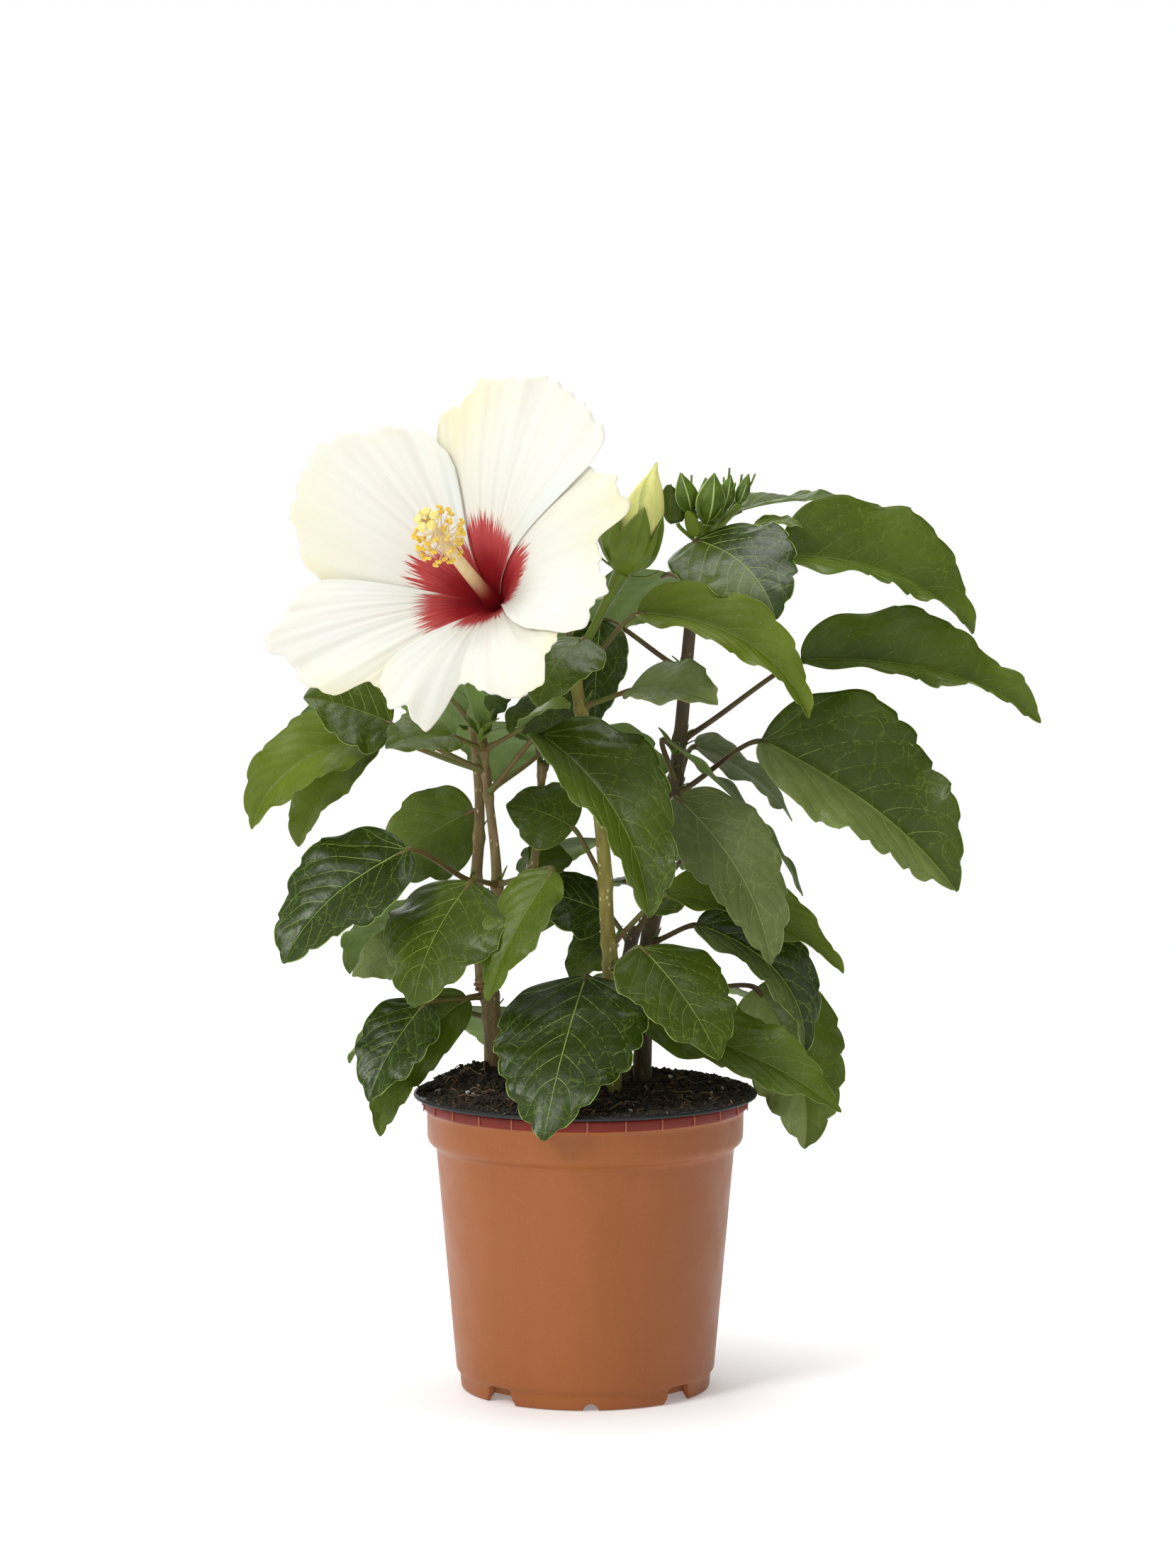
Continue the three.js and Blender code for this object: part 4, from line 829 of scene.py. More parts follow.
# Each petal: its middle, the phase of its ruffles, a fold's place and depth, and its outline from
# the side that lies in front round to the side behind, as turn about the axis and reach
petals = [
    {"turn": 66, "phase": 0.3, "fold": (0.75, 1.2), "edge": [
        (31, 0.92), (32.5, 1.0), (35.2, 1.033), (39.3, 1.043), (44, 1.054), (49.2, 1.047), (53.1, 1.065),
        (58, 1.063), (62.6, 1.068), (65.8, 1.062), (67, 1.036), (74.5, 1.028), (81, 1.022), (83.1, 0.99),
        (86.3, 0.975), (89, 0.943), (94.5, 0.927), (98, 0.9), (100, 0.84)]},
    {"turn": 139, "phase": 1.7, "fold": (-0.25, 1.0), "edge": [
        (94, 0.72), (95.7, 0.785), (99.2, 0.832), (104.8, 0.89), (113.9, 0.939), (119.3, 0.975),
        (121.1, 0.962), (126.5, 0.998), (128, 1.014), (129.9, 1.028), (132.7, 1.025), (135.1, 1.042),
        (139.8, 1.038), (144, 1.037), (151.2, 1.017), (155.6, 1.024), (157.5, 1.012), (161.9, 0.972),
        (166.5, 0.955), (172.8, 0.919), (176.2, 0.892), (178.9, 0.849), (183, 0.79)]},
    {"turn": 208, "phase": 2.9, "fold": (0.1, 1.5), "edge": [
        (179, 0.8), (179.7, 0.87), (183.9, 0.93), (188.3, 0.965), (193.7, 0.989), (195.3, 1.02),
        (197.3, 1.065), (199.6, 1.069), (202.5, 1.06), (204, 1.028), (208.6, 1.025), (213.7, 1.019),
        (219.7, 1.007), (225.5, 0.965), (227, 0.87), (229, 0.852), (236.1, 0.845), (244, 0.81)]},
    {"turn": 280, "phase": 4.1, "fold": (-0.25, 4.0), "edge": [
        (231, 0.76), (236.1, 0.845), (241, 0.89), (248.9, 0.938), (252.2, 0.909), (255.6, 0.937),
        (261.5, 0.968), (263.1, 0.921), (265, 0.851), (266.2, 0.773), (268.3, 0.72), (274.1, 0.757),
        (279, 0.817), (285.7, 0.876), (293.1, 0.893), (302.3, 0.915), (306, 0.897), (309.4, 0.844),
        (315.1, 0.831), (319.2, 0.836), (321.8, 0.816), (327, 0.77)]},
    {"turn": 352, "phase": 5.3, "fold": (0.25, 2.2), "edge": [
        (311.6, 0.56), (314.5, 0.666), (318.9, 0.74), (322, 0.824), (326, 0.873), (330.4, 0.926),
        (335.1, 0.887), (340, 0.898), (342.2, 0.945), (347.3, 0.91), (353.2, 0.868), (362.6, 0.843),
        (366.5, 0.885), (368, 0.96), (369, 1.0), (372.4, 1.008), (376.2, 0.997), (381.5, 0.995),
        (386.5, 0.951), (390.7, 0.927), (397, 0.87)]},
]
# How far the red of the throat reaches at each turn
redReach = [(-31, 0.297), (-3, 0.358), (11, 0.43), (23, 0.485), (35, 0.47), (42, 0.44), (52, 0.461),
            (64, 0.489), (75, 0.505), (84, 0.519), (93, 0.495), (102, 0.44), (115, 0.4), (130, 0.414),
            (140, 0.454), (149, 0.491), (159, 0.526), (168, 0.505), (179, 0.475), (186, 0.46), (196, 0.468),
            (208, 0.497), (222, 0.527), (233, 0.491), (247, 0.41), (266, 0.345), (289, 0.3), (307, 0.3),
            (329, 0.297)]
bloomAxis = unit(point(*bloom["axis"]))
bloomRight = unit(point(1, 0, 0) - bloomAxis[0] * bloomAxis)
bloomUp = np.cross(bloomAxis, bloomRight)


# Places in the bloom from a radius and a turn about its axis and a height along it.
def inBloom(r, turn, z):
    r, turn, z = np.broadcast_arrays(np.asarray(r, float), turn, z)
    return (point(*bloom["root"]) + (r * np.cos(turn))[..., None] * bloomRight
            + (r * np.sin(turn))[..., None] * bloomUp + z[..., None] * bloomAxis)


# Radius and rise along the funnel: a cubic Bezier of the four profile points.
def funnel(q):
    w = np.stack([(1 - q) ** 3, 3 * q * (1 - q) ** 2, 3 * q * q * (1 - q), q ** 3], -1)
    return w @ np.array(bloom["profile"], float)


# Value at x of a table of pairs, its corners softened by averaging three near readings.
def readTable(table, x, soft):
    a, b = np.array(table, float).T
    return sum(np.interp(x + d, a, b) for d in (-soft, 0, soft)) / 3


# A petal lies on the funnel, s from its claw to its edge and t from its front side to the side
# behind. It fans out from the claw, wider on the side that is tucked behind the next petal. It is
# raised off the funnel along the funnel's own normal: more on its front side, and by ruffles whose
# sines are finer and come later towards the edge.
def petalPoints(petal, s, t):
    edge = petal["edge"]
    margin = edge[0][0] + (edge[-1][0] - edge[0][0]) * (t + 1) / 2
    off = margin - petal["turn"]
    front = bloom["claw"] + (1 - bloom["claw"]) * ease(s, 0.1, 0.9)
    behind = 1 + bloom["overlap"] * (1 - s)
    turn = np.radians(petal["turn"] + off * np.where(off < 0, front, behind))
    frill = (0.006 * np.sin(0.55 * margin + petal["phase"])
             + 0.004 * np.sin(1.3 * margin + 2)) * ease(s, 0.6, 1)
    q = s * (readTable(edge, margin, 0.8) + frill)
    place = np.where(off < 0, off / (petal["turn"] - edge[0][0]), off / (edge[-1][0] - petal["turn"]))
    phase, (foldAt, foldDeep) = petal["phase"], petal["fold"]
    fold = (np.cos((place - foldAt) / bloom["foldEvery"] * np.pi)
            * np.exp(-((place - foldAt) / bloom["foldWide"]) ** 2))
    wide, middle, fine = bloom["ruffles"]
    pleat = 0.15 * np.sin(30 * place + 3 * phase + 2 * np.sin(3 * s)) + 0.10 * np.sin(53 * place + phase)
    raised = (-bloom["stack"] * place * (0.25 + 0.75 * s) + wide * s ** 2 * np.sin(3.2 * place + phase)
              + middle * s ** 4 * np.sin(8 * place + 2 * phase)
              + fine * s ** 7 * np.sin(19 * place + 3 * phase)
              + pleat * ease(s, 0.1, 0.5) - foldDeep * s ** 4 * fold)
    rz = funnel(q)
    slope = unit(funnel(q + 0.01) - funnel(q - 0.01))
    r = rz[..., 0] - slope[..., 1] * raised
    z = rz[..., 1] + slope[..., 0] * raised
    return inBloom(r, turn, z), q, np.degrees(turn), place


# Upward direction of a surface on a grid: the cross product of its two steps.
def gridUp(points):
    return unit(np.cross(np.gradient(points, axis=0), np.gradient(points, axis=1)))


petalBag = newBag()
for number, petal in enumerate(petals):
    s, t = np.meshgrid(np.linspace(0.012, 1, bloom["rows"]), np.linspace(-1, 1, bloom["columns"]),
                       indexing="ij")
    top, reach, turn, place = petalPoints(petal, s, t)
    thick = bloom["thick"] * (1 + 1.2 * (1 - s)) * (1 - 0.7 * np.abs(t) ** 6)
    under = top - gridUp(top) * thick[..., None]
    throat = readTable(redReach, np.mod(turn + 31, 360) - 31, 2.0) * (1 - 0.2 * ease(-place, 0.75, 1)) - reach
    # The side tucked behind the next petal is yellower and darker near its edge, partly the petal's own tint
    # and partly painted shade from the petal over it; every margin is a little yellower.
    tintAndShade = ease(s, 0.45, 1) * ease(place, -0.1, 0.8) + 0.35 * ease(s, 0.8, 1)
    where = np.stack([s, place, np.full_like(s, number)], -1)
    marks = {"petalPlace": where, "throat": throat[..., None], "tintAndShade": tintAndShade[..., None]}
    addSheet(petalBag, top, under, (0, 1), marks)


# Petals: creamy white, yellower and darker towards the edge on the side tucked behind the next petal,
# partly the petal's own tint and partly painted shade from the petal over it, with a deep red throat
# whose border is feathered by fine streaks that run along the petal, and soft veins in low relief.
def petalMaterial(name, back):
    material, tree, shader, where = newMaterial(
        name, Roughness=0.6, Specular_IOR_Level=0.25, Subsurface_Weight=0.1, Subsurface_Scale=0.004)
    s, across, number = addNode(tree, "ShaderNodeSeparateXYZ",
                                Vector=markOf(tree, "petalPlace").outputs["Vector"]).outputs
    fan = addNode(tree, "ShaderNodeCombineXYZ", X=calculate(tree, "MULTIPLY", s, 2.0),
                  Y=calculate(tree, "MULTIPLY", across, 22.0),
                  Z=calculate(tree, "MULTIPLY", number, 9.0)).outputs[0]
    streaks = noise(tree, fan, 1.0, 2.0, 0.5)
    threads = noise(tree, fan, 2.6, 2.0, 0.6)
    throat = markOf(tree, "throat").outputs["Fac"]
    edge = calculate(tree, "ADD", throat, spread(tree, streaks, 0.25, 0.75, -0.02, 0.02))
    edge = calculate(tree, "ADD", edge, spread(tree, threads, 0.3, 0.7, -0.045, 0.045))
    red = spread(tree, edge, -0.012, 0.03)
    # The cream tint that also paints the shade on the tucked side.
    tintAndShade = calculate(tree, "MULTIPLY", markOf(tree, "tintAndShade").outputs["Fac"],
                     spread(tree, noise(tree, where, 30.0, 2.0), 0.25, 0.7, 0.35, 1.0))
    cream = blendColours(tree, tintAndShade, paint(224, 224, 218), paint(224, 219, 188))
    cream = blendColours(tree, spread(tree, s, 0.35, 0.7, 0.35, 0.0), cream, paint(223, 219, 198))
    cream = blendColours(tree, spread(tree, threads, 0.5, 0.7, 0.0, 0.12), cream, paint(216, 214, 202))
    wine = blendColours(tree, spread(tree, throat, 0.02, 0.26), paint(188, 82, 80), paint(136, 28, 34))
    wine = blendColours(tree, spread(tree, threads, 0.4, 0.62, 0.0, 0.55), wine, paint(154, 34, 42))
    factor = calculate(tree, "MULTIPLY", red, 0.3) if back else red
    tree.links.new(blendColours(tree, factor, cream, wine), shader.inputs["Base Color"])
    tree.links.new(spread(tree, red, 0.0, 1.0, 0.6, 0.38), shader.inputs["Roughness"])
    bumpUp(tree, shader, threads, 0.0002, 0.4)
    return material


makePiece("petals", petalBag, [petalMaterial("petal front", False), petalMaterial("petal back", True)],
          ["corolla"])

column = {"radius": (2.7, 1.9), "length": 67, "bend": 5.6, "rings": 64, "sides": 22, "stamens": 50,
          "spiral": 2.39996, "headRings": (46, 61), "thread": 0.2, "anther": 0.85, "pads": 5, "arm": 0.55,
          "pad": 1.9}


# Small rounded grains: each is a squashed ball of rings about its own axis.
def addBall(bag, centre, axis, size, flat=0.75, look=0, sides=9, rings=6):
    q = (np.arange(rings) + 0.5) / rings * np.pi
    path = centre + axis * (-np.cos(q) * size * flat)[:, None]
    addRings(bag, ringsAlong(path, np.sin(q) * size, sides), look)


# The staminal column tapers from the throat and bends up a little. Stamens stand round its head in
# a golden-angle spiral, their threads leaning out to a loose ball of anthers, and five stigma pads
# crown it.
columnBag = newBag()
antherBag = newBag()
q = np.linspace(0, 1, column["rings"])
columnPath = inBloom(column["bend"] * q ** 1.6, np.pi / 2, 1 + q * column["length"])
taper = column["radius"][0] + (column["radius"][1] - column["radius"][0]) * q
taper = taper * (1 + 0.6 * np.exp(-q * 12)) * (1 - 0.5 * ease(q, 0.86, 1))
addRings(columnBag, ringsAlong(columnPath, taper, column["sides"]),
         marks={"along": np.repeat(q[:, None], column["sides"], 1)})
for k in range(column["stamens"]):
    up = (k + 0.5) / column["stamens"]
    turn = k * column["spiral"]
    j = int(np.interp(up, [0, 1], column["headRings"]))
    out = unit(bloomRight * np.cos(turn) + bloomUp * np.sin(turn))
    reachOut = (3.6 + 4.6 * np.sin(np.pi * (0.18 + 0.66 * up))) * (0.8 + 0.4 * chance(k, 5))
    tip = columnPath[j] + out * reachOut + bloomAxis * (1.5 + 3.6 * chance(k, 6) - 1.5 * (1 - up))
    foot = columnPath[j] + out * 1.2
    thread = hermite(foot, tip, out * 3.5, bloomAxis * 2.5 + out, 6)
    addRings(columnBag, ringsAlong(thread, np.full(7, column["thread"]), 5),
             marks={"along": np.full((7, 5), 0.9)})
    lie = unit(np.cross(out, bloomAxis) + 0.6 * bloomAxis * (chance(k, 7) - 0.5))
    for side in (-1, 1):
        addBall(antherBag, tip + lie * side * column["anther"] * 0.7, unit(out + lie * side * 0.8),
                column["anther"] * (0.8 + 0.35 * chance(k, 8 + side)), 0.85, 0, 8, 5)
for k in range(column["pads"]):
    turn = k / column["pads"] * turnFull + 0.4
    out = bloomRight * np.cos(turn) + bloomUp * np.sin(turn)
    start = columnPath[-1]
    tip = start + out * 3.1 + bloomAxis * 5.2
    arm = hermite(start - bloomAxis * 2, tip, bloomAxis * 6, out * 4, 8)
    addRings(columnBag, ringsAlong(arm, np.full(9, column["arm"]), 7),
             marks={"along": np.full((9, 7), 0.95)})
    addBall(antherBag, tip, unit(out * 0.4 + bloomAxis), column["pad"], 0.55, 1, 14, 8)

columnMaterial, tree, shader, where = newMaterial("column", Roughness=0.5, Subsurface_Weight=0.1,
                                                  Subsurface_Scale=0.002)
along = markOf(tree, "along").outputs["Fac"]
skin = blendColours(tree, spread(tree, noise(tree, where, 300.0), 0.35, 0.65), paint(226, 206, 160),
                    paint(220, 194, 142))
foot = blendColours(tree, spread(tree, along, 0.12, 0.5), paint(140, 22, 28), skin)
tree.links.new(foot, shader.inputs["Base Color"])
bumpUp(tree, shader, noise(tree, where, 900.0), 0.0001, 0.5)
antherYellow = skinMaterial("anther yellow", paint(224, 182, 50), paint(234, 204, 96), 0.8, 500.0, 0.0002)
stigmaYellow = skinMaterial("stigma yellow", paint(230, 208, 112), paint(236, 220, 146), 0.75, 700.0, 0.0002)
makePiece("flower_column", columnBag, [columnMaterial], ["staminal_column"])
makePiece("anthers", antherBag, [antherYellow, stigmaYellow])
print("bloom done")


cupForm = {"sides": 140, "lobes": 5, "lobePower": 0.62, "ribs": 0.085, "wall": 0.6}


# A calyx is a cup about an axis whose radius follows a table by height. Its rim stands up in five
# pointed lobes, one of them turned to the facing angle, three low ribs run up each lobe, and the
# cup flares out towards one side.
def addCup(bag, foot, axis, table, cut, lobeHigh, facing, flare=0.0, flareTurn=0.0):
    first = unit(point(1, 0, 0) - axis[0] * axis)
    other = np.cross(axis, first)
    turn = np.arange(cupForm["sides"]) / cupForm["sides"] * turnFull
    share = np.abs(np.mod(cupForm["lobes"] * (turn - facing) / turnFull + 0.5, 1) * 2 - 1)
    rim = cut + lobeHigh * (1 - share) ** cupForm["lobePower"]
    threeRibs = cupForm["ribs"] * np.abs(np.cos(1.5 * cupForm["lobes"] * (turn - facing))) ** 4
    outside = [(v, 0.0) for v in np.linspace(0, 1, 24)]
    inside = [(v, cupForm["wall"]) for v in np.linspace(0.99, 0.4, 8)]
    rows = []
    for v, inset in outside + inside:
        high = v * rim
        ribs = threeRibs * ease(high, 2, 6) * (1 - ease(v, 0.75, 1))
        out = readTable(table, high, 0.6) * (1 + ribs) - inset - 0.35 * ease(v, 0.96, 1)
        out = out + flare * np.maximum(0, np.cos(turn - flareTurn)) ** 2 * ease(high, 5, cut)
        rows.append(foot + (out * np.cos(turn))[:, None] * first + (out * np.sin(turn))[:, None] * other
                    + high[:, None] * axis)
    addRings(bag, np.array(rows))


calyx = {"down": 24, "table": [(0, 1.6), (0.6, 2.6), (3.5, 5.4), (9, 7.2), (15, 8.2), (21, 9.0), (25, 9.8),
                               (28, 10.3)],
         "cut": 18, "lobe": 10, "bracts": 7, "bractLong": 15, "bractWide": 1.8, "stalk": (1.9, 1.55)}
greens = newBag()
bloomRoot = point(*bloom["root"])
addCup(greens, bloomRoot - bloomAxis * calyx["down"], bloomAxis,
       calyx["table"], calyx["cut"], calyx["lobe"], 0.3)
for k in range(calyx["bracts"]):
    addBract(greens, bloomRoot - bloomAxis * (calyx["down"] - 1.5), bloomAxis, k / calyx["bracts"] * turnFull,
             calyx["bractLong"], calyx["bractWide"], 1.5, -0.9)
stemTop, _ = onStem("stem_middle", 275)
calyxFoot = bloomRoot - bloomAxis * (calyx["down"] - 1)
path = hermite(stemTop - point(0, 0, 2), calyxFoot, point(-4, -1, 16), bloomAxis * 18, 22)
addRings(greens, ringsAlong(path, np.linspace(*calyx["stalk"], 23), 12))

budForm = {"base": (13.4, -14, 306), "tip": (25.9, -10, 347.3), "petals": 3, "twist": 0.75, "seat": 4,
           "rings": 110, "sides": 150, "cut": 13.0, "lobe": 13.0, "flare": 2.4, "bractWide": 2.1,
           "cup": [(0, 2.2), (1.8, 5.0), (5.7, 8.4), (9, 9.7), (13, 10.1), (17, 10.0), (22, 9.4), (27, 8.2)],
           "roll": [(0, 5.0), (4, 6.6), (12, 7.6), (20, 7.9), (26, 7.4), (31, 5.8), (35, 4.0), (39, 1.7),
                    (43, 0.3)],
           # turn, length, lean, curl
           "bracts": [(0.1, 15, 1.9, -1.3), (3.3, 15, 1.5, -0.6), (-1.7, 10, 0.9, -0.5), (1.4, 14, 1.6, -0.9),
                      (-2.6, 13, 1.5, -0.9), (2.2, 13, 1.5, -0.8), (0.8, 12, 1.5, -0.9)]}
budBase, budTip = point(*budForm["base"]), point(*budForm["tip"])
budAxis = unit(budTip - budBase)
budLong = np.linalg.norm(budTip - budBase)
path = hermite(stemTop + point(1.2, -0.4, -2), budBase + budAxis * 0.6,
               point(10, -2, 8), point(11, 0, 16), 26)
q = np.linspace(0, 1, 27)
addRings(greens, ringsAlong(path, 1.65 + 1.5 * ease(q, 0.55, 1.0), 14))
toFront = -np.pi / 2
addCup(greens, budBase, budAxis, budForm["cup"], budForm["cut"], budForm["lobe"], toFront + 0.12,
       budForm["flare"], np.pi)
for turn, long, lean, curl in budForm["bracts"]:
    addBract(greens, budBase + budAxis * 0.8, budAxis, turn, long, budForm["bractWide"], lean, curl, 0, 0.8)

# The bud's rolled petals: a spindle whose radius follows a table. Its section is three overlapping
# steps, turned more and more towards the point like a furled umbrella, and fine veins run along.
u = np.linspace(0.0, 1, budForm["rings"])
turn = np.arange(budForm["sides"]) / budForm["sides"] * turnFull
rolledHigh = budForm["seat"] + (budLong - budForm["seat"]) * u
spindle = readTable(budForm["roll"], rolledHigh, 1.5)
wound = np.mod(budForm["petals"] * (turn[None] / turnFull) + budForm["twist"] * u[:, None] + 0.1, 1)
steps = 1 + 0.12 * (wound ** 2 - 0.4) * ease(u, 0.1, 0.35)[:, None]
threads = np.abs(np.sin(17 * turn[None] + 9 * u[:, None])) ** 0.6
rolled = (spindle[:, None] * (steps + 0.008 * threads)
          + 0.08 * ripple(turn[None] * 3, u[:, None] * 6, 4, 0.5, 2))
rolled = np.maximum(rolled, 0.15)
budPath = budBase + budAxis * rolledHigh[:, None] + np.outer(np.sin(u * 2.6) * 0.8, point(1, 0, 0))
budBag = newBag()
addRings(budBag, ringsAlong(budPath, rolled, budForm["sides"]), marks={"wound": wound, "threads": threads})
budPetal, tree, shader, where = newMaterial("bud petals", Roughness=0.5, Subsurface_Weight=0.1,
                                            Subsurface_Scale=0.002)
wind = markOf(tree, "wound").outputs["Fac"]
body = blendColours(tree, spread(tree, noise(tree, stretch(tree, where, 3, 3, 0.5), 160.0), 0.35, 0.65),
                    paint(232, 230, 142), paint(216, 218, 122))
vein = spread(tree, markOf(tree, "threads").outputs["Fac"], 0.1, 0.75, 0.3, 0.0)
body = blendColours(tree, vein, body, paint(186, 196, 92))
tree.links.new(blendColours(tree, spread(tree, wind, 0.0, 0.2, 0.6, 0.0), body, paint(158, 172, 74)),
               shader.inputs["Base Color"])
bumpUp(tree, shader, noise(tree, stretch(tree, where, 3, 3, 0.4), 400.0), 0.00015, 0.6)
makePiece("bud_rolled_petals", budBag, [budPetal], ["bud_petals"])

# The cluster: star-sided green buds on one short swollen stalk. Each body is widest below its
# middle and drawn out to a point, with a raised pale seam where two sepals meet.
cluster = {
    "foot": (44, 14, 317), "rings": 44, "sides": 100, "seam": 0.10, "seamWide": 0.2,
    # low end, tip, width
    "heads": [((45, 10, 323), (48.1, 8, 343), 11.0), ((39.5, 12, 327), (35.4, 10, 343), 8.4),
              ((51, 14, 328), (54.4, 15, 342), 6.4), ((56.8, 16, 330), (61.2, 17, 342.4), 5.0),
              ((46, 17, 326), (45, 19, 341), 7.0)],
    # head, turn, length, width, lean, curl
    "bracts": [(0, 2.9, 19, 2.0, 1.25, -0.95), (0, -0.35, 16, 3.0, 1.25, -0.8),
               (0, -2.3, 13, 1.8, 1.2, -0.9), (0, -0.9, 12, 1.8, 1.3, -1.0), (0, 0.9, 18, 1.8, 0.5, -0.3),
               (1, 3.0, 15, 2.2, 0.7, -0.6), (1, 1.4, 17, 1.8, 0.3, -0.1), (1, -1.9, 11, 1.8, 0.7, -0.4),
               (1, 0.1, 16, 1.8, 0.35, -0.1), (2, 0.4, 18, 1.5, 0.1, -0.3), (2, -0.7, 13, 2.0, 0.5, -0.4),
               (2, 2.6, 14, 1.6, 0.2, 0.1), (3, 0.0, 15, 1.5, 0.4, -0.4), (3, 2.8, 13, 2.0, 0.35, -0.2),
               (3, -1.4, 12, 2.2, 0.35, -0.2), (4, 1.5, 16, 1.6, 0.4, 0.0), (4, -0.1, 17, 1.5, 0.3, -0.1),
               (0, 2.2, 18, 1.6, 0.35, -0.1)],
    # small unfolding leaves: foot, direction, length, width, look
    "leaflets": [((41.6, 6, 318.6), (-0.36, -0.1, 1), 11, 6.6, 2),
                 ((34.4, 12, 323), (-0.24, -0.1, 1), 16, 10.5, 3)],
}
starBag = newBag()
clusterFoot = point(*cluster["foot"])
headAxes = []
for low, high, wide in cluster["heads"]:
    base, tip = point(*low), point(*high)
    axis, long = unit(tip - base), np.linalg.norm(tip - base)
    headAxes.append((base, axis))
    path = hermite(clusterFoot - point(0, 0, 2), base + axis * 1.2, point(0, 0, 6), axis * 6, 12)
    q = np.linspace(0, 1, 13)
    addRings(greens, ringsAlong(path, 1.3 + 0.16 * wide * q ** 3, 14))
    u = np.linspace(0.03, 1, cluster["rings"])
    turn = np.arange(cluster["sides"]) / cluster["sides"] * turnFull
    body = wide / 2 * np.sin(np.pi * u ** 0.85)
    seam = np.exp(-(np.sin(2.5 * turn + 0.4) / cluster["seamWide"]) ** 2)
    star = np.maximum(body[:, None] * (0.97 + cluster["seam"] * seam[None]) + 0.12, 0.12)
    addRings(starBag, ringsAlong(base + axis * (u * long)[:, None], star, cluster["sides"]),
             marks={"seam": np.tile(seam, (cluster["rings"], 1))})
for head, turn, long, wide, lean, curl in cluster["bracts"]:
    base, axis = headAxes[head]
    addBract(greens, base + axis * 0.8, axis, turn, 0.9 * long, 1.35 * wide, lean, curl, 1, 0.8)
for foot, way, long, wide, look in cluster["leaflets"]:
    addBract(greens, point(*foot), unit(point(*way)), toFront, long, wide, 0.0, 0.12, look)
    path = hermite(point(*foot) + point(0, 0, 1), clusterFoot + point(0, 0, -2),
                   point(0, 0, -5), point(4, 0, -4), 8)
    addRings(greens, ringsAlong(path, np.full(9, 0.8), 8))
starGreen, tree, shader, where = newMaterial("young bud", Roughness=0.45, Specular_IOR_Level=0.3)
pale = spread(tree, markOf(tree, "seam").outputs["Fac"], 0.3, 0.85, 0.0, 0.95)
body = blendColours(tree, spread(tree, noise(tree, where, 260.0), 0.35, 0.65), paint(68, 92, 16),
                    paint(86, 110, 26))
tree.links.new(blendColours(tree, pale, body, paint(176, 196, 122)), shader.inputs["Base Color"])
bumpUp(tree, shader, noise(tree, where, 1300.0), 0.0001, 0.6)
makePiece("cluster_buds", starBag, [starGreen])
makePiece("calyx_and_buds", greens, [budGreen, bractGreen, leafTops["young"], leafTops["deep"]],
          ["bloom_calyx", "bud_calyx", "bud_cluster"])
print("buds done")

pot = {
    "height": 110, "foot": 47.1, "step": 6.6, "base": 48.5, "top": 56, "collar": 59.2,
    "collarLow": 92.9, "collarHigh": 105.5, "band": 61.2, "channel": 3, "sides": 288,
    "notchWide": 11, "notchHigh": 6.4, "turned": 2.5, "scallop": 2.8, "ribs": 27, "rib": 0.30,
}


# A lathe profile with its corners rounded: points are set closely along each straight and the
# whole is smoothed near the corners by averaging neighbours.
def softProfile(corners, spacing=0.7, passes=3):
    c = np.array(corners, float)
    parts = [np.linspace(a, b, max(2, int(np.linalg.norm(b - a) / spacing)), endpoint=False)
             for a, b in zip(c[:-1], c[1:])]
    p = np.vstack(parts + [c[-1:]])
    for _ in range(passes):
        p[1:-1] = (p[:-2] + 2 * p[1:-1] + p[2:]) / 4
    return p


# Rings about the pot's axis from a profile, its radii and heights changed by a function of turn.
def latheRings(profile, sides, change=None):
    turn = np.arange(sides) / sides * turnFull
    r = np.repeat(profile[:, :1], sides, 1)
    z = np.repeat(profile[:, 1:], sides, 1)
    if change:
        r, z = change(r, z, turn[None])
    return np.stack([r * np.cos(turn), r * np.sin(turn), z], -1)


# How high the foot is cut at a turn: four notches with slanted ends, and half-round gaps between.
def footCut(turn):
    quarter = np.mod(np.degrees(turn) - 45 - pot["turned"] + 45, 90) - 45
    away = np.abs(np.radians(quarter)) * pot["foot"]
    notch = pot["notchHigh"] * (1 - ease(away, pot["notchWide"] / 2 - 0.8, pot["notchWide"] / 2 + 1.6))
    between = np.mod(np.degrees(turn) - pot["turned"] + 45, 90) - 45
    off = np.abs(np.radians(between)) * pot["foot"] / pot["scallop"]
    scallop = pot["scallop"] * np.sqrt(np.maximum(0, 1 - off ** 2))
    return np.maximum(notch, scallop)


# Lifts the foot's rim by the cut at each turn.
def shapeFoot(r, z, turn):
    reached = r > pot["foot"] - 3.2
    return r, np.where(reached & (z < pot["step"]), np.maximum(z, footCut(turn)), z)


outer = softProfile([
    (1, pot["channel"]), (pot["foot"] - 3.4, pot["channel"]), (pot["foot"] - 2.6, pot["channel"]),
    (pot["foot"] - 2.3, 0), (pot["foot"] - 0.3, 0), (pot["foot"], pot["step"] - 0.4),
    (pot["base"], pot["step"] + 0.5), (pot["base"] + 0.1, pot["step"] + 2),
    (pot["top"], pot["collarLow"] - 1.2), (pot["collar"] - 0.9, pot["collarLow"] - 0.2),
    (pot["collar"], pot["collarLow"] + 1.6), (pot["collar"] + 0.2, pot["collarHigh"]),
    (pot["band"] - 0.3, pot["collarHigh"] + 0.5), (pot["band"], pot["height"] - 0.3),
    (pot["band"] - 0.6, pot["height"]), (pot["band"] - 1.8, pot["height"] - 0.4), (pot["top"] - 2, 90),
    (46, 8), (1, 6)], 0.9, 2)
potBag = newBag()
addRings(potBag, latheRings(outer, pot["sides"], shapeFoot))


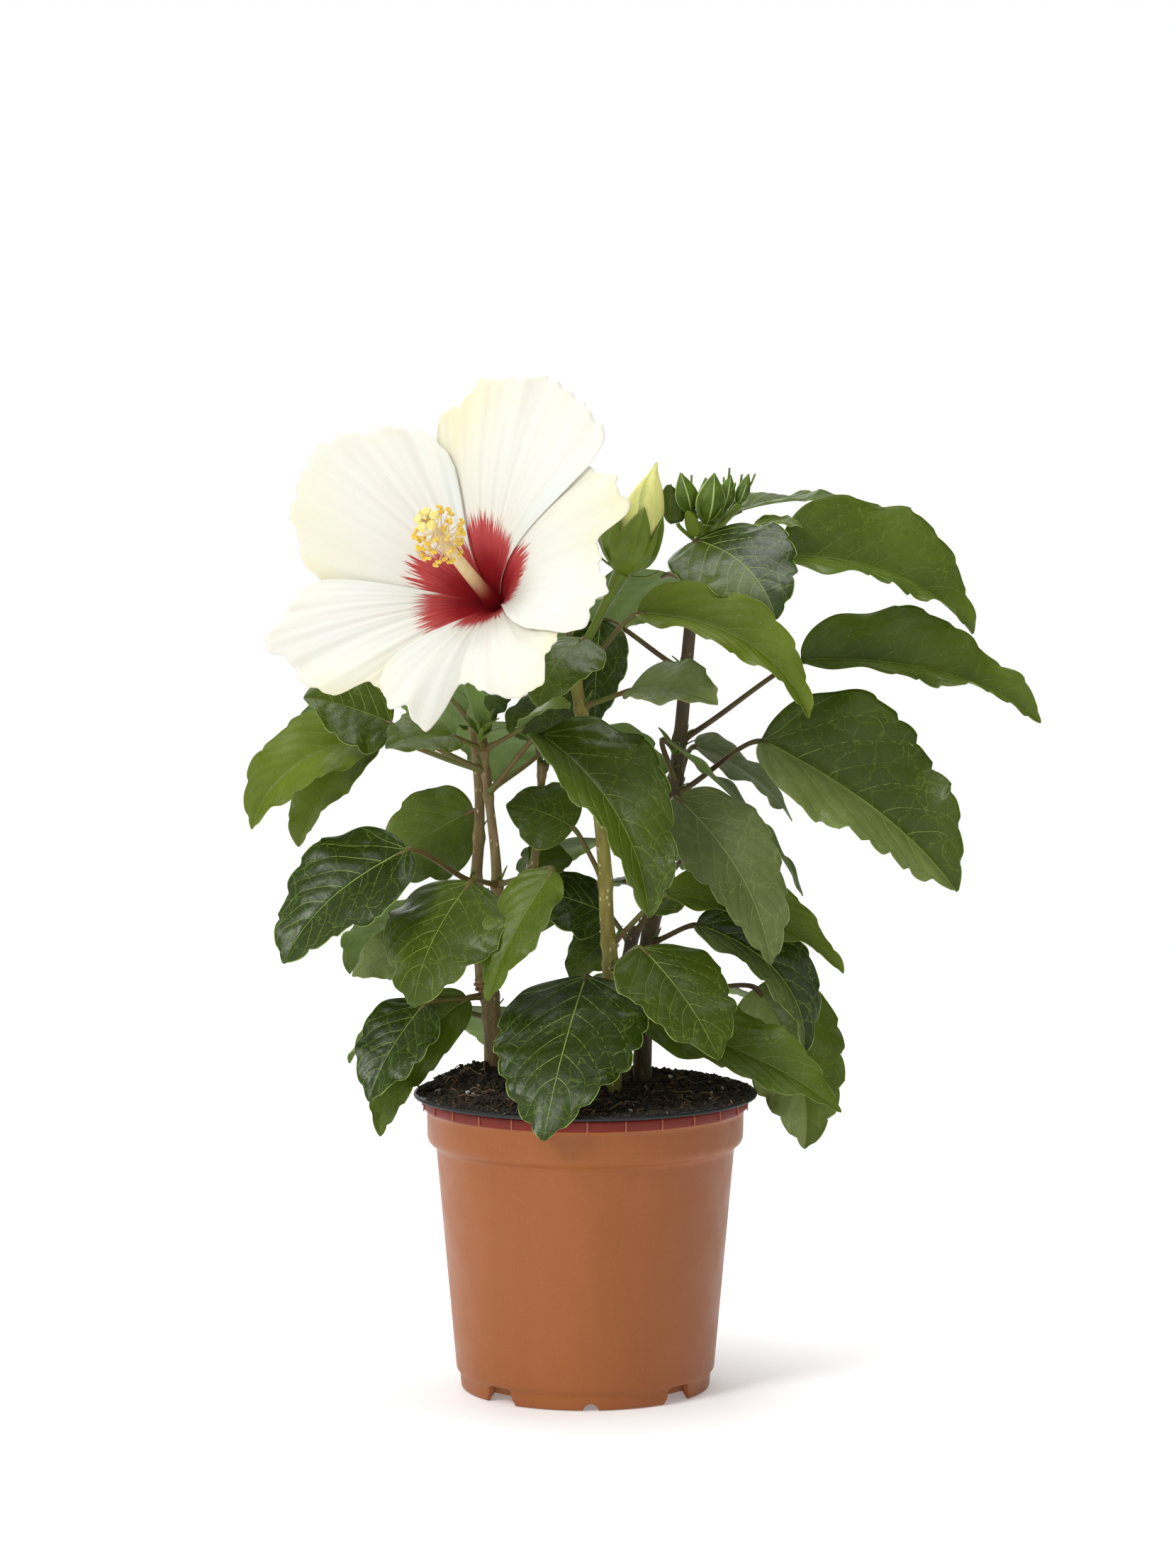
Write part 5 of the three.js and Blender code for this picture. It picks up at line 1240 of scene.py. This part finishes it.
# Satin moulded plastic: an even colour with faint flow marks, fine speckles, rare pale scuffs and
# a skin whose roughness drifts.
def plasticMaterial(name, base, patch, scuff, roughness):
    material, tree, shader, where = newMaterial(name, Specular_IOR_Level=0.3, Coat_Weight=0.03,
                                                Coat_Roughness=0.3)
    flow = spread(tree, noise(tree, stretch(tree, where, 1, 1, 0.25), 26.0, 4.0), 0.3, 0.7)
    speck = spread(tree, noise(tree, where, 1500.0, 2.0), 0.60, 0.74)
    mark = spread(tree, noise(tree, stretch(tree, where, 1, 1, 2.2), 150.0, 6.0, 0.7), 0.71, 0.77)
    colour = blendColours(tree, flow, base, patch)
    colour = blendColours(tree, calculate(tree, "MULTIPLY", speck, 0.35), colour, scuff)
    colour = blendColours(tree, calculate(tree, "MULTIPLY", mark, 0.4), colour, scuff)
    tree.links.new(colour, shader.inputs["Base Color"])
    skin = calculate(tree, "ADD", spread(tree, noise(tree, where, 90.0), 0.3, 0.7, -0.04, 0.06), roughness)
    tree.links.new(skin, shader.inputs["Roughness"])
    grain = bumpUp(tree, shader, noise(tree, where, 1100.0, 2.0), 0.00004, 0.5)
    bumpUp(tree, shader, flow, 0.0003, 0.2, grain)
    return material


plasticLooks = {
    # name: colour, flow marks, scuffs, roughness
    "terracotta": ((152, 88, 42), (144, 81, 38), (178, 118, 76), 0.42),
    # The rim band's deep red is painted shade under the liner's lip, on the same plastic as the wall.
    "shaded rim band": ((118, 28, 10), (106, 24, 9), (142, 52, 32), 0.55),
    # The ribs' pale colour is painted light on them, on the same plastic as the wall.
    "lit rim ribs": ((176, 106, 78), (162, 92, 66), (192, 134, 106), 0.5),
    "dark": ((36, 38, 40), (30, 32, 34), (74, 76, 78), 0.5),
}
plastics = {name: plasticMaterial(name + " plastic", *(paint(*colour) for colour in row[:3]), row[3])
            for name, row in plasticLooks.items()}
potPiece = makePiece("pot_wall", potBag, [plastics["terracotta"], plastics["shaded rim band"]], ["pot"])
centres = np.empty(len(potPiece.data.polygons) * 3, np.float32)
potPiece.data.polygons.foreach_get("center", centres)
centres = centres.reshape(-1, 3) / mm
# Faces of the band under the liner's lip take the painted shade.
inShadedBand = (centres[:, 2] > pot["collarHigh"] + 0.3) & (np.hypot(centres[:, 0], centres[:, 1]) > pot["collar"])
potPiece.data.polygons.foreach_set("material_index", inShadedBand.astype(np.int32))

# Ribs on the band, with painted light in their colour.
ribBag = newBag()
for k in range(pot["ribs"]):
    turn = (k + 0.3) / pot["ribs"] * turnFull
    out = point(np.cos(turn), np.sin(turn), 0)
    heights = np.linspace(pot["collarHigh"] + 0.4, pot["height"] - 0.2, 6)
    path = out * (pot["band"] + 0.05) + np.outer(heights, point(0, 0, 1))
    addRings(ribBag, ringsAlong(path, np.full(6, pot["rib"]), 8))
makePiece("rim_ribs", ribBag, [plastics["lit rim ribs"]])

liner = {"lip": 64.5, "seat": 110.3, "inside": 57.8, "foot": 12, "sides": 200}
linerProfile = softProfile([
    (1, liner["foot"]), (42, liner["foot"]), (46.5, 14), (53.6, 90), (58.6, 110),
    (pot["band"], liner["seat"]), (liner["lip"] - 0.5, liner["seat"]), (liner["lip"], liner["seat"] + 0.6),
    (liner["lip"] - 0.2, liner["seat"] + 1.3), (liner["lip"] - 0.9, liner["seat"] + 1.55),
    (liner["inside"] + 1, liner["seat"] + 1.5), (liner["inside"], liner["seat"]), (52.6, 89), (45.5, 16),
    (1, 14)], 0.8, 1)
linerBag = newBag()
addRings(linerBag, latheRings(linerProfile, liner["sides"]))
makePiece("liner_shell", linerBag, [plastics["dark"]], ["liner"])
print("pot done")

soil = {"level": 110.9, "heap": 9, "heapAt": (-34, 8), "heapWide": 16, "rough": 1.1, "rim": 57.4,
        "bottom": 16, "lip": 111.8, "within": 56.0, "rings": 92, "sides": 260, "sunk": 0.3, "lean": 0.45}


# Height of the soil: level with the rim, heaped round the left stem, with clods of several sizes.
def soilHeight(x, y):
    away = np.hypot(x - soil["heapAt"][0], y - soil["heapAt"][1]) / soil["heapWide"]
    heap = soil["heap"] * np.exp(-away ** 2 / 2)
    clods = np.sin(x * 0.31 + 1.3 * np.sin(y * 0.23)) * np.sin(y * 0.37 + np.sin(x * 0.19))
    lumps = (0.9 * np.abs(ripple(x, y, 21, 2.6, 2)) + 0.7 * ripple(x, y, 22, 1.1, 3)
             + 0.3 * ripple(x, y, 23, 0.45, 2))
    edge = 0.9 * (np.hypot(x, y) / soil["within"]) ** 8
    return soil["level"] + heap + soil["rough"] * clods + lumps - edge


turn = np.arange(soil["sides"]) / soil["sides"] * turnFull
radii = soil["rim"] * np.linspace(1, 0.012, soil["rings"]) ** 0.9
x, y = radii[:, None] * np.cos(turn), radii[:, None] * np.sin(turn)
bed = np.stack([x, y, soilHeight(x, y)], -1)
wall = latheRings(np.array([[1.0, soil["bottom"]], [43, soil["bottom"]], [50, 88], [56.6, 106]]),
                  soil["sides"])
soilBag = newBag()
addRings(soilBag, np.concatenate([wall, bed]))

soilMaterial, tree, shader, where = newMaterial("soil", Roughness=0.95, Specular_IOR_Level=0.2)
crumbs = cells(tree, where, 520.0, "F1")
earth = blendColours(tree, spread(tree, noise(tree, where, 240.0, 6.0, 0.7), 0.35, 0.7), paint(36, 32, 27),
                     paint(68, 57, 45))
flecks = spread(tree, noise(tree, where, 620.0, 3.0), 0.66, 0.74)
tree.links.new(blendColours(tree, flecks, earth, paint(84, 64, 44)), shader.inputs["Base Color"])
low = bumpUp(tree, shader, crumbs, 0.0012, 1.0)
bumpUp(tree, shader, noise(tree, where, 900.0, 5.0, 0.7), 0.0007, 0.9, low)
makePiece("soil_bed", soilBag, [soilMaterial], ["soil"])

# A chip: the eight corners of a block, each pushed in unevenly, and its twelve triangles
chipCorners = np.array([(x, y, z) for x in (-1, 1) for y in (-1, 1) for z in (-1, 1)], float)
chipCorners = chipCorners * np.array([[0.7, 0.9, 1], [1, 0.8, 0.6], [0.9, 1, 0.8], [0.75, 0.9, 1],
                                      [1, 0.7, 0.9], [0.8, 1, 0.7], [0.9, 0.75, 1], [1, 1, 0.8]])
chipTris = np.array([(0, 1, 3), (0, 3, 2), (4, 6, 7), (4, 7, 5), (0, 4, 5), (0, 5, 1), (2, 3, 7), (2, 7, 6),
                     (0, 2, 6), (0, 6, 4), (1, 5, 7), (1, 7, 3)])


# Crumbs and chips strewn on the soil: uneven little blocks, randomly turned and half sunk.
def strewChips(name, count, long, wide, flat, material, seed, around=None, ring=None):
    draw = np.random.default_rng(seed)
    r, a = soil["within"] * np.sqrt(draw.uniform(0.0, 1, count)), draw.uniform(0, turnFull, count)
    x, y = r * np.cos(a), r * np.sin(a)
    if around:
        x, y = around[0] + draw.normal(0, around[2], count), around[1] + draw.normal(0, around[2], count)
    if ring:
        r = draw.uniform(*ring, count)
        x, y = r * np.cos(a), r * np.sin(a)
    sizes = np.stack([draw.uniform(*long, count), draw.uniform(*wide, count), draw.uniform(*flat, count)],
                     -1) / 2
    ground = np.maximum(soilHeight(x, y), np.where(np.hypot(x, y) > soil["within"] + 0.5, soil["lip"], 0))
    places = np.stack([x, y, ground + sizes[:, 2] * soil["sunk"]], -1)
    spin, lean = draw.uniform(0, turnFull, count), draw.normal(0, soil["lean"], count)
    ahead = np.stack([np.cos(spin) * np.cos(lean), np.sin(spin) * np.cos(lean), np.sin(lean)], -1)
    side = unit(np.cross(np.broadcast_to(point(0, 0, 1), ahead.shape), ahead)
                + draw.normal(0, 0.3, (count, 3)))
    over = unit(np.cross(ahead, side))
    frames = np.stack([ahead, np.cross(over, ahead), over], 1)
    bag = newBag()
    addCopies(bag, chipCorners, chipTris, places, frames, sizes)
    makePiece(name, bag, [material], smooth=False)


chipDark = skinMaterial("dark crumbs", paint(39, 35, 30), paint(60, 51, 41), 0.95, 300.0, 0.0003)
chipBrown = skinMaterial("bark chips", paint(74, 52, 34), paint(50, 36, 24), 0.85, 300.0, 0.0003)
chipTan = skinMaterial("pale chips", paint(150, 120, 86), paint(120, 92, 64), 0.8, 300.0, 0.0003)
perlite = skinMaterial("perlite", paint(226, 222, 214), paint(204, 198, 190), 0.85, 500.0, 0.0004)
strewn = {
    # name: count, length, width, thickness, material, seed, and where they lie if not all over
    "crumbs_dark": (4200, (0.8, 3.2), (0.7, 2.2), (0.5, 1.8), chipDark, 31, {}),
    "crumbs_on_lip": (1500, (0.6, 2.6), (0.5, 1.8), (0.4, 1.3), chipDark, 41, {"ring": (55.5, 62.6)}),
    "chips_on_lip": (90, (0.8, 3.5), (0.4, 1.0), (0.3, 0.7), chipTan, 42, {"ring": (55.5, 63.6)}),
    "chips_brown": (620, (1.5, 6.5), (0.6, 2.2), (0.4, 1.2), chipBrown, 32, {}),
    "chips_pale": (190, (1.2, 6.5), (0.4, 1.2), (0.3, 0.8), chipTan, 33, {}),
    "perlite_bits": (34, (1.0, 2.4), (1.0, 2.0), (0.8, 1.6), perlite, 34, {}),
    "perlite_flake": (5, (2.6, 4.6), (2.0, 3.2), (0.8, 1.4), perlite, 36, {"around": (-22, -46, 1.3)}),
}
for name, (count, long, wide, flat, material, seed, place) in strewn.items():
    strewChips(name, count, long, wide, flat, material, seed, **place)

# Fine roots and fibres: thin arcs lying on the soil
fibreBag = newBag()
fibres = {"count": 110, "within": 54, "edge": 55, "long": (4, 13), "thin": (0.16, 0.30), "bend": 1.6,
          "arch": 1.2}
for k in range(fibres["count"]):
    r, a = fibres["within"] * np.sqrt(chance(k, 1)), chance(k, 2) * turnFull
    way, long = (chance(k, 3) * turnFull,
                 fibres["long"][0] + (fibres["long"][1] - fibres["long"][0]) * chance(k, 4))
    q = np.linspace(-0.5, 0.5, 8)
    bend = way + fibres["bend"] * (chance(k, 5) - 0.5) * q
    x = r * np.cos(a) + long * q * np.cos(bend)
    y = r * np.sin(a) + long * q * np.sin(bend)
    inside = min(1.0, fibres["edge"] / max(np.hypot(x, y).max(), 1))
    x, y = x * inside, y * inside
    z = soilHeight(x, y) + 0.5 + fibres["arch"] * chance(k, 6) * np.cos(q * np.pi)
    thin = fibres["thin"][0] + (fibres["thin"][1] - fibres["thin"][0]) * chance(k, 7)
    addRings(fibreBag, ringsAlong(np.stack([x, y, z], -1), np.full(8, thin), 5))
makePiece("root_fibres", fibreBag, [chipTan])
print("soil done")

studio = {"floorHalf": 1.3, "floorGlow": 0.22, "wall": 1.0, "ceiling": 0.5, "right": 0.4,
          "aim": (0.0, 0.0, 0.2)}
floorMesh = bpy.data.meshes.new("studio_floor")
half = studio["floorHalf"]
floorMesh.from_pydata([(-half, -half, 0), (half, -half, 0), (half, half, 0), (-half, half, 0)], [],
                      [(0, 1, 2, 3)])
floor = bpy.data.objects.new("studio_floor", floorMesh)
bpy.context.scene.collection.objects.link(floor)
floorPaint, tree, shader, where = newMaterial("studio white", Roughness=0.9, Specular_IOR_Level=0.1)
drift = spread(tree, noise(tree, where, 3.0), 0.3, 0.7)
tree.links.new(blendColours(tree, drift, paint(246, 246, 246), paint(248, 248, 248)),
               shader.inputs["Base Color"])
shader.inputs["Emission Color"].default_value = (1, 1, 1, 1)
shader.inputs["Emission Strength"].default_value = studio["floorGlow"]
floorMesh.materials.append(floorPaint)

# name: place, size, power, colour; each lamp looks at the plant's middle
lamps = {
    "key": ((-1.3, -1.5, 1.6), 0.8, 22.0, (1.0, 0.985, 0.96)),
    "glint": ((-0.7, -1.1, 1.9), 0.28, 4.0, (1.0, 1.0, 1.0)),
    "fill": ((1.7, -1.2, 0.8), 1.4, 1.0, (0.97, 0.985, 1.0)),
    "top": ((0.1, 0.3, 2.1), 1.6, 24.0, (1.0, 1.0, 1.0)),
    "back": ((-0.6, 1.7, 1.1), 1.4, 8.0, (1.0, 1.0, 1.0)),
}
aim = np.array(studio["aim"])
for name, (place, size, power, colour) in lamps.items():
    data = bpy.data.lights.new(name, "AREA")
    data.shape, data.size, data.energy, data.color = "DISK", size, power, colour
    lamp = bpy.data.objects.new(name, data)
    bpy.context.scene.collection.objects.link(lamp)
    away = unit(np.array(place) - aim)
    flat = float(np.hypot(away[0], away[1]))
    lamp.location = place
    lamp.rotation_euler = (float(np.arctan2(flat, away[2])), 0.0, float(np.arctan2(away[0], -away[1])))

# The studio is white to the eye; what it sheds on the plant is less overhead and from the right
world = bpy.data.worlds.new("studio")
world.use_nodes = True
tree = world.node_tree
sky = addNode(tree, "ShaderNodeSeparateXYZ", Vector=addNode(tree, "ShaderNodeTexCoord").outputs["Generated"])
glow = spread(tree, sky.outputs["Z"], 0.15, 0.5, studio["wall"], studio["ceiling"])
shade = spread(tree, sky.outputs["X"], 0.05, 0.75, 1.0, studio["right"])
shed = calculate(tree, "MULTIPLY", glow, shade)
seen = addNode(tree, "ShaderNodeLightPath").outputs["Is Camera Ray"]
tree.links.new(calculate(tree, "MAXIMUM", shed, seen), tree.nodes["Background"].inputs["Strength"])
tree.nodes["Background"].inputs["Color"].default_value = (1, 1, 1, 1)
bpy.context.scene.world = world
bpy.context.scene.view_settings.view_transform = "Standard"

cameraView = {"place": (1.0, -1813, 392), "pitch": 5.19, "focal": 6889, "frame": (1659, 2212), "sensor": 36.0}
cameraData = bpy.data.cameras.new("camera")
cameraData.sensor_width = cameraView["sensor"]
cameraData.lens = cameraView["focal"] / max(cameraView["frame"]) * cameraView["sensor"]
camera = bpy.data.objects.new("camera", cameraData)
camera.location = np.array(cameraView["place"]) * mm
camera.rotation_euler = (np.radians(90 - cameraView["pitch"]), 0, 0)
bpy.context.scene.collection.objects.link(camera)
bpy.context.scene.camera = camera

print("studio done")
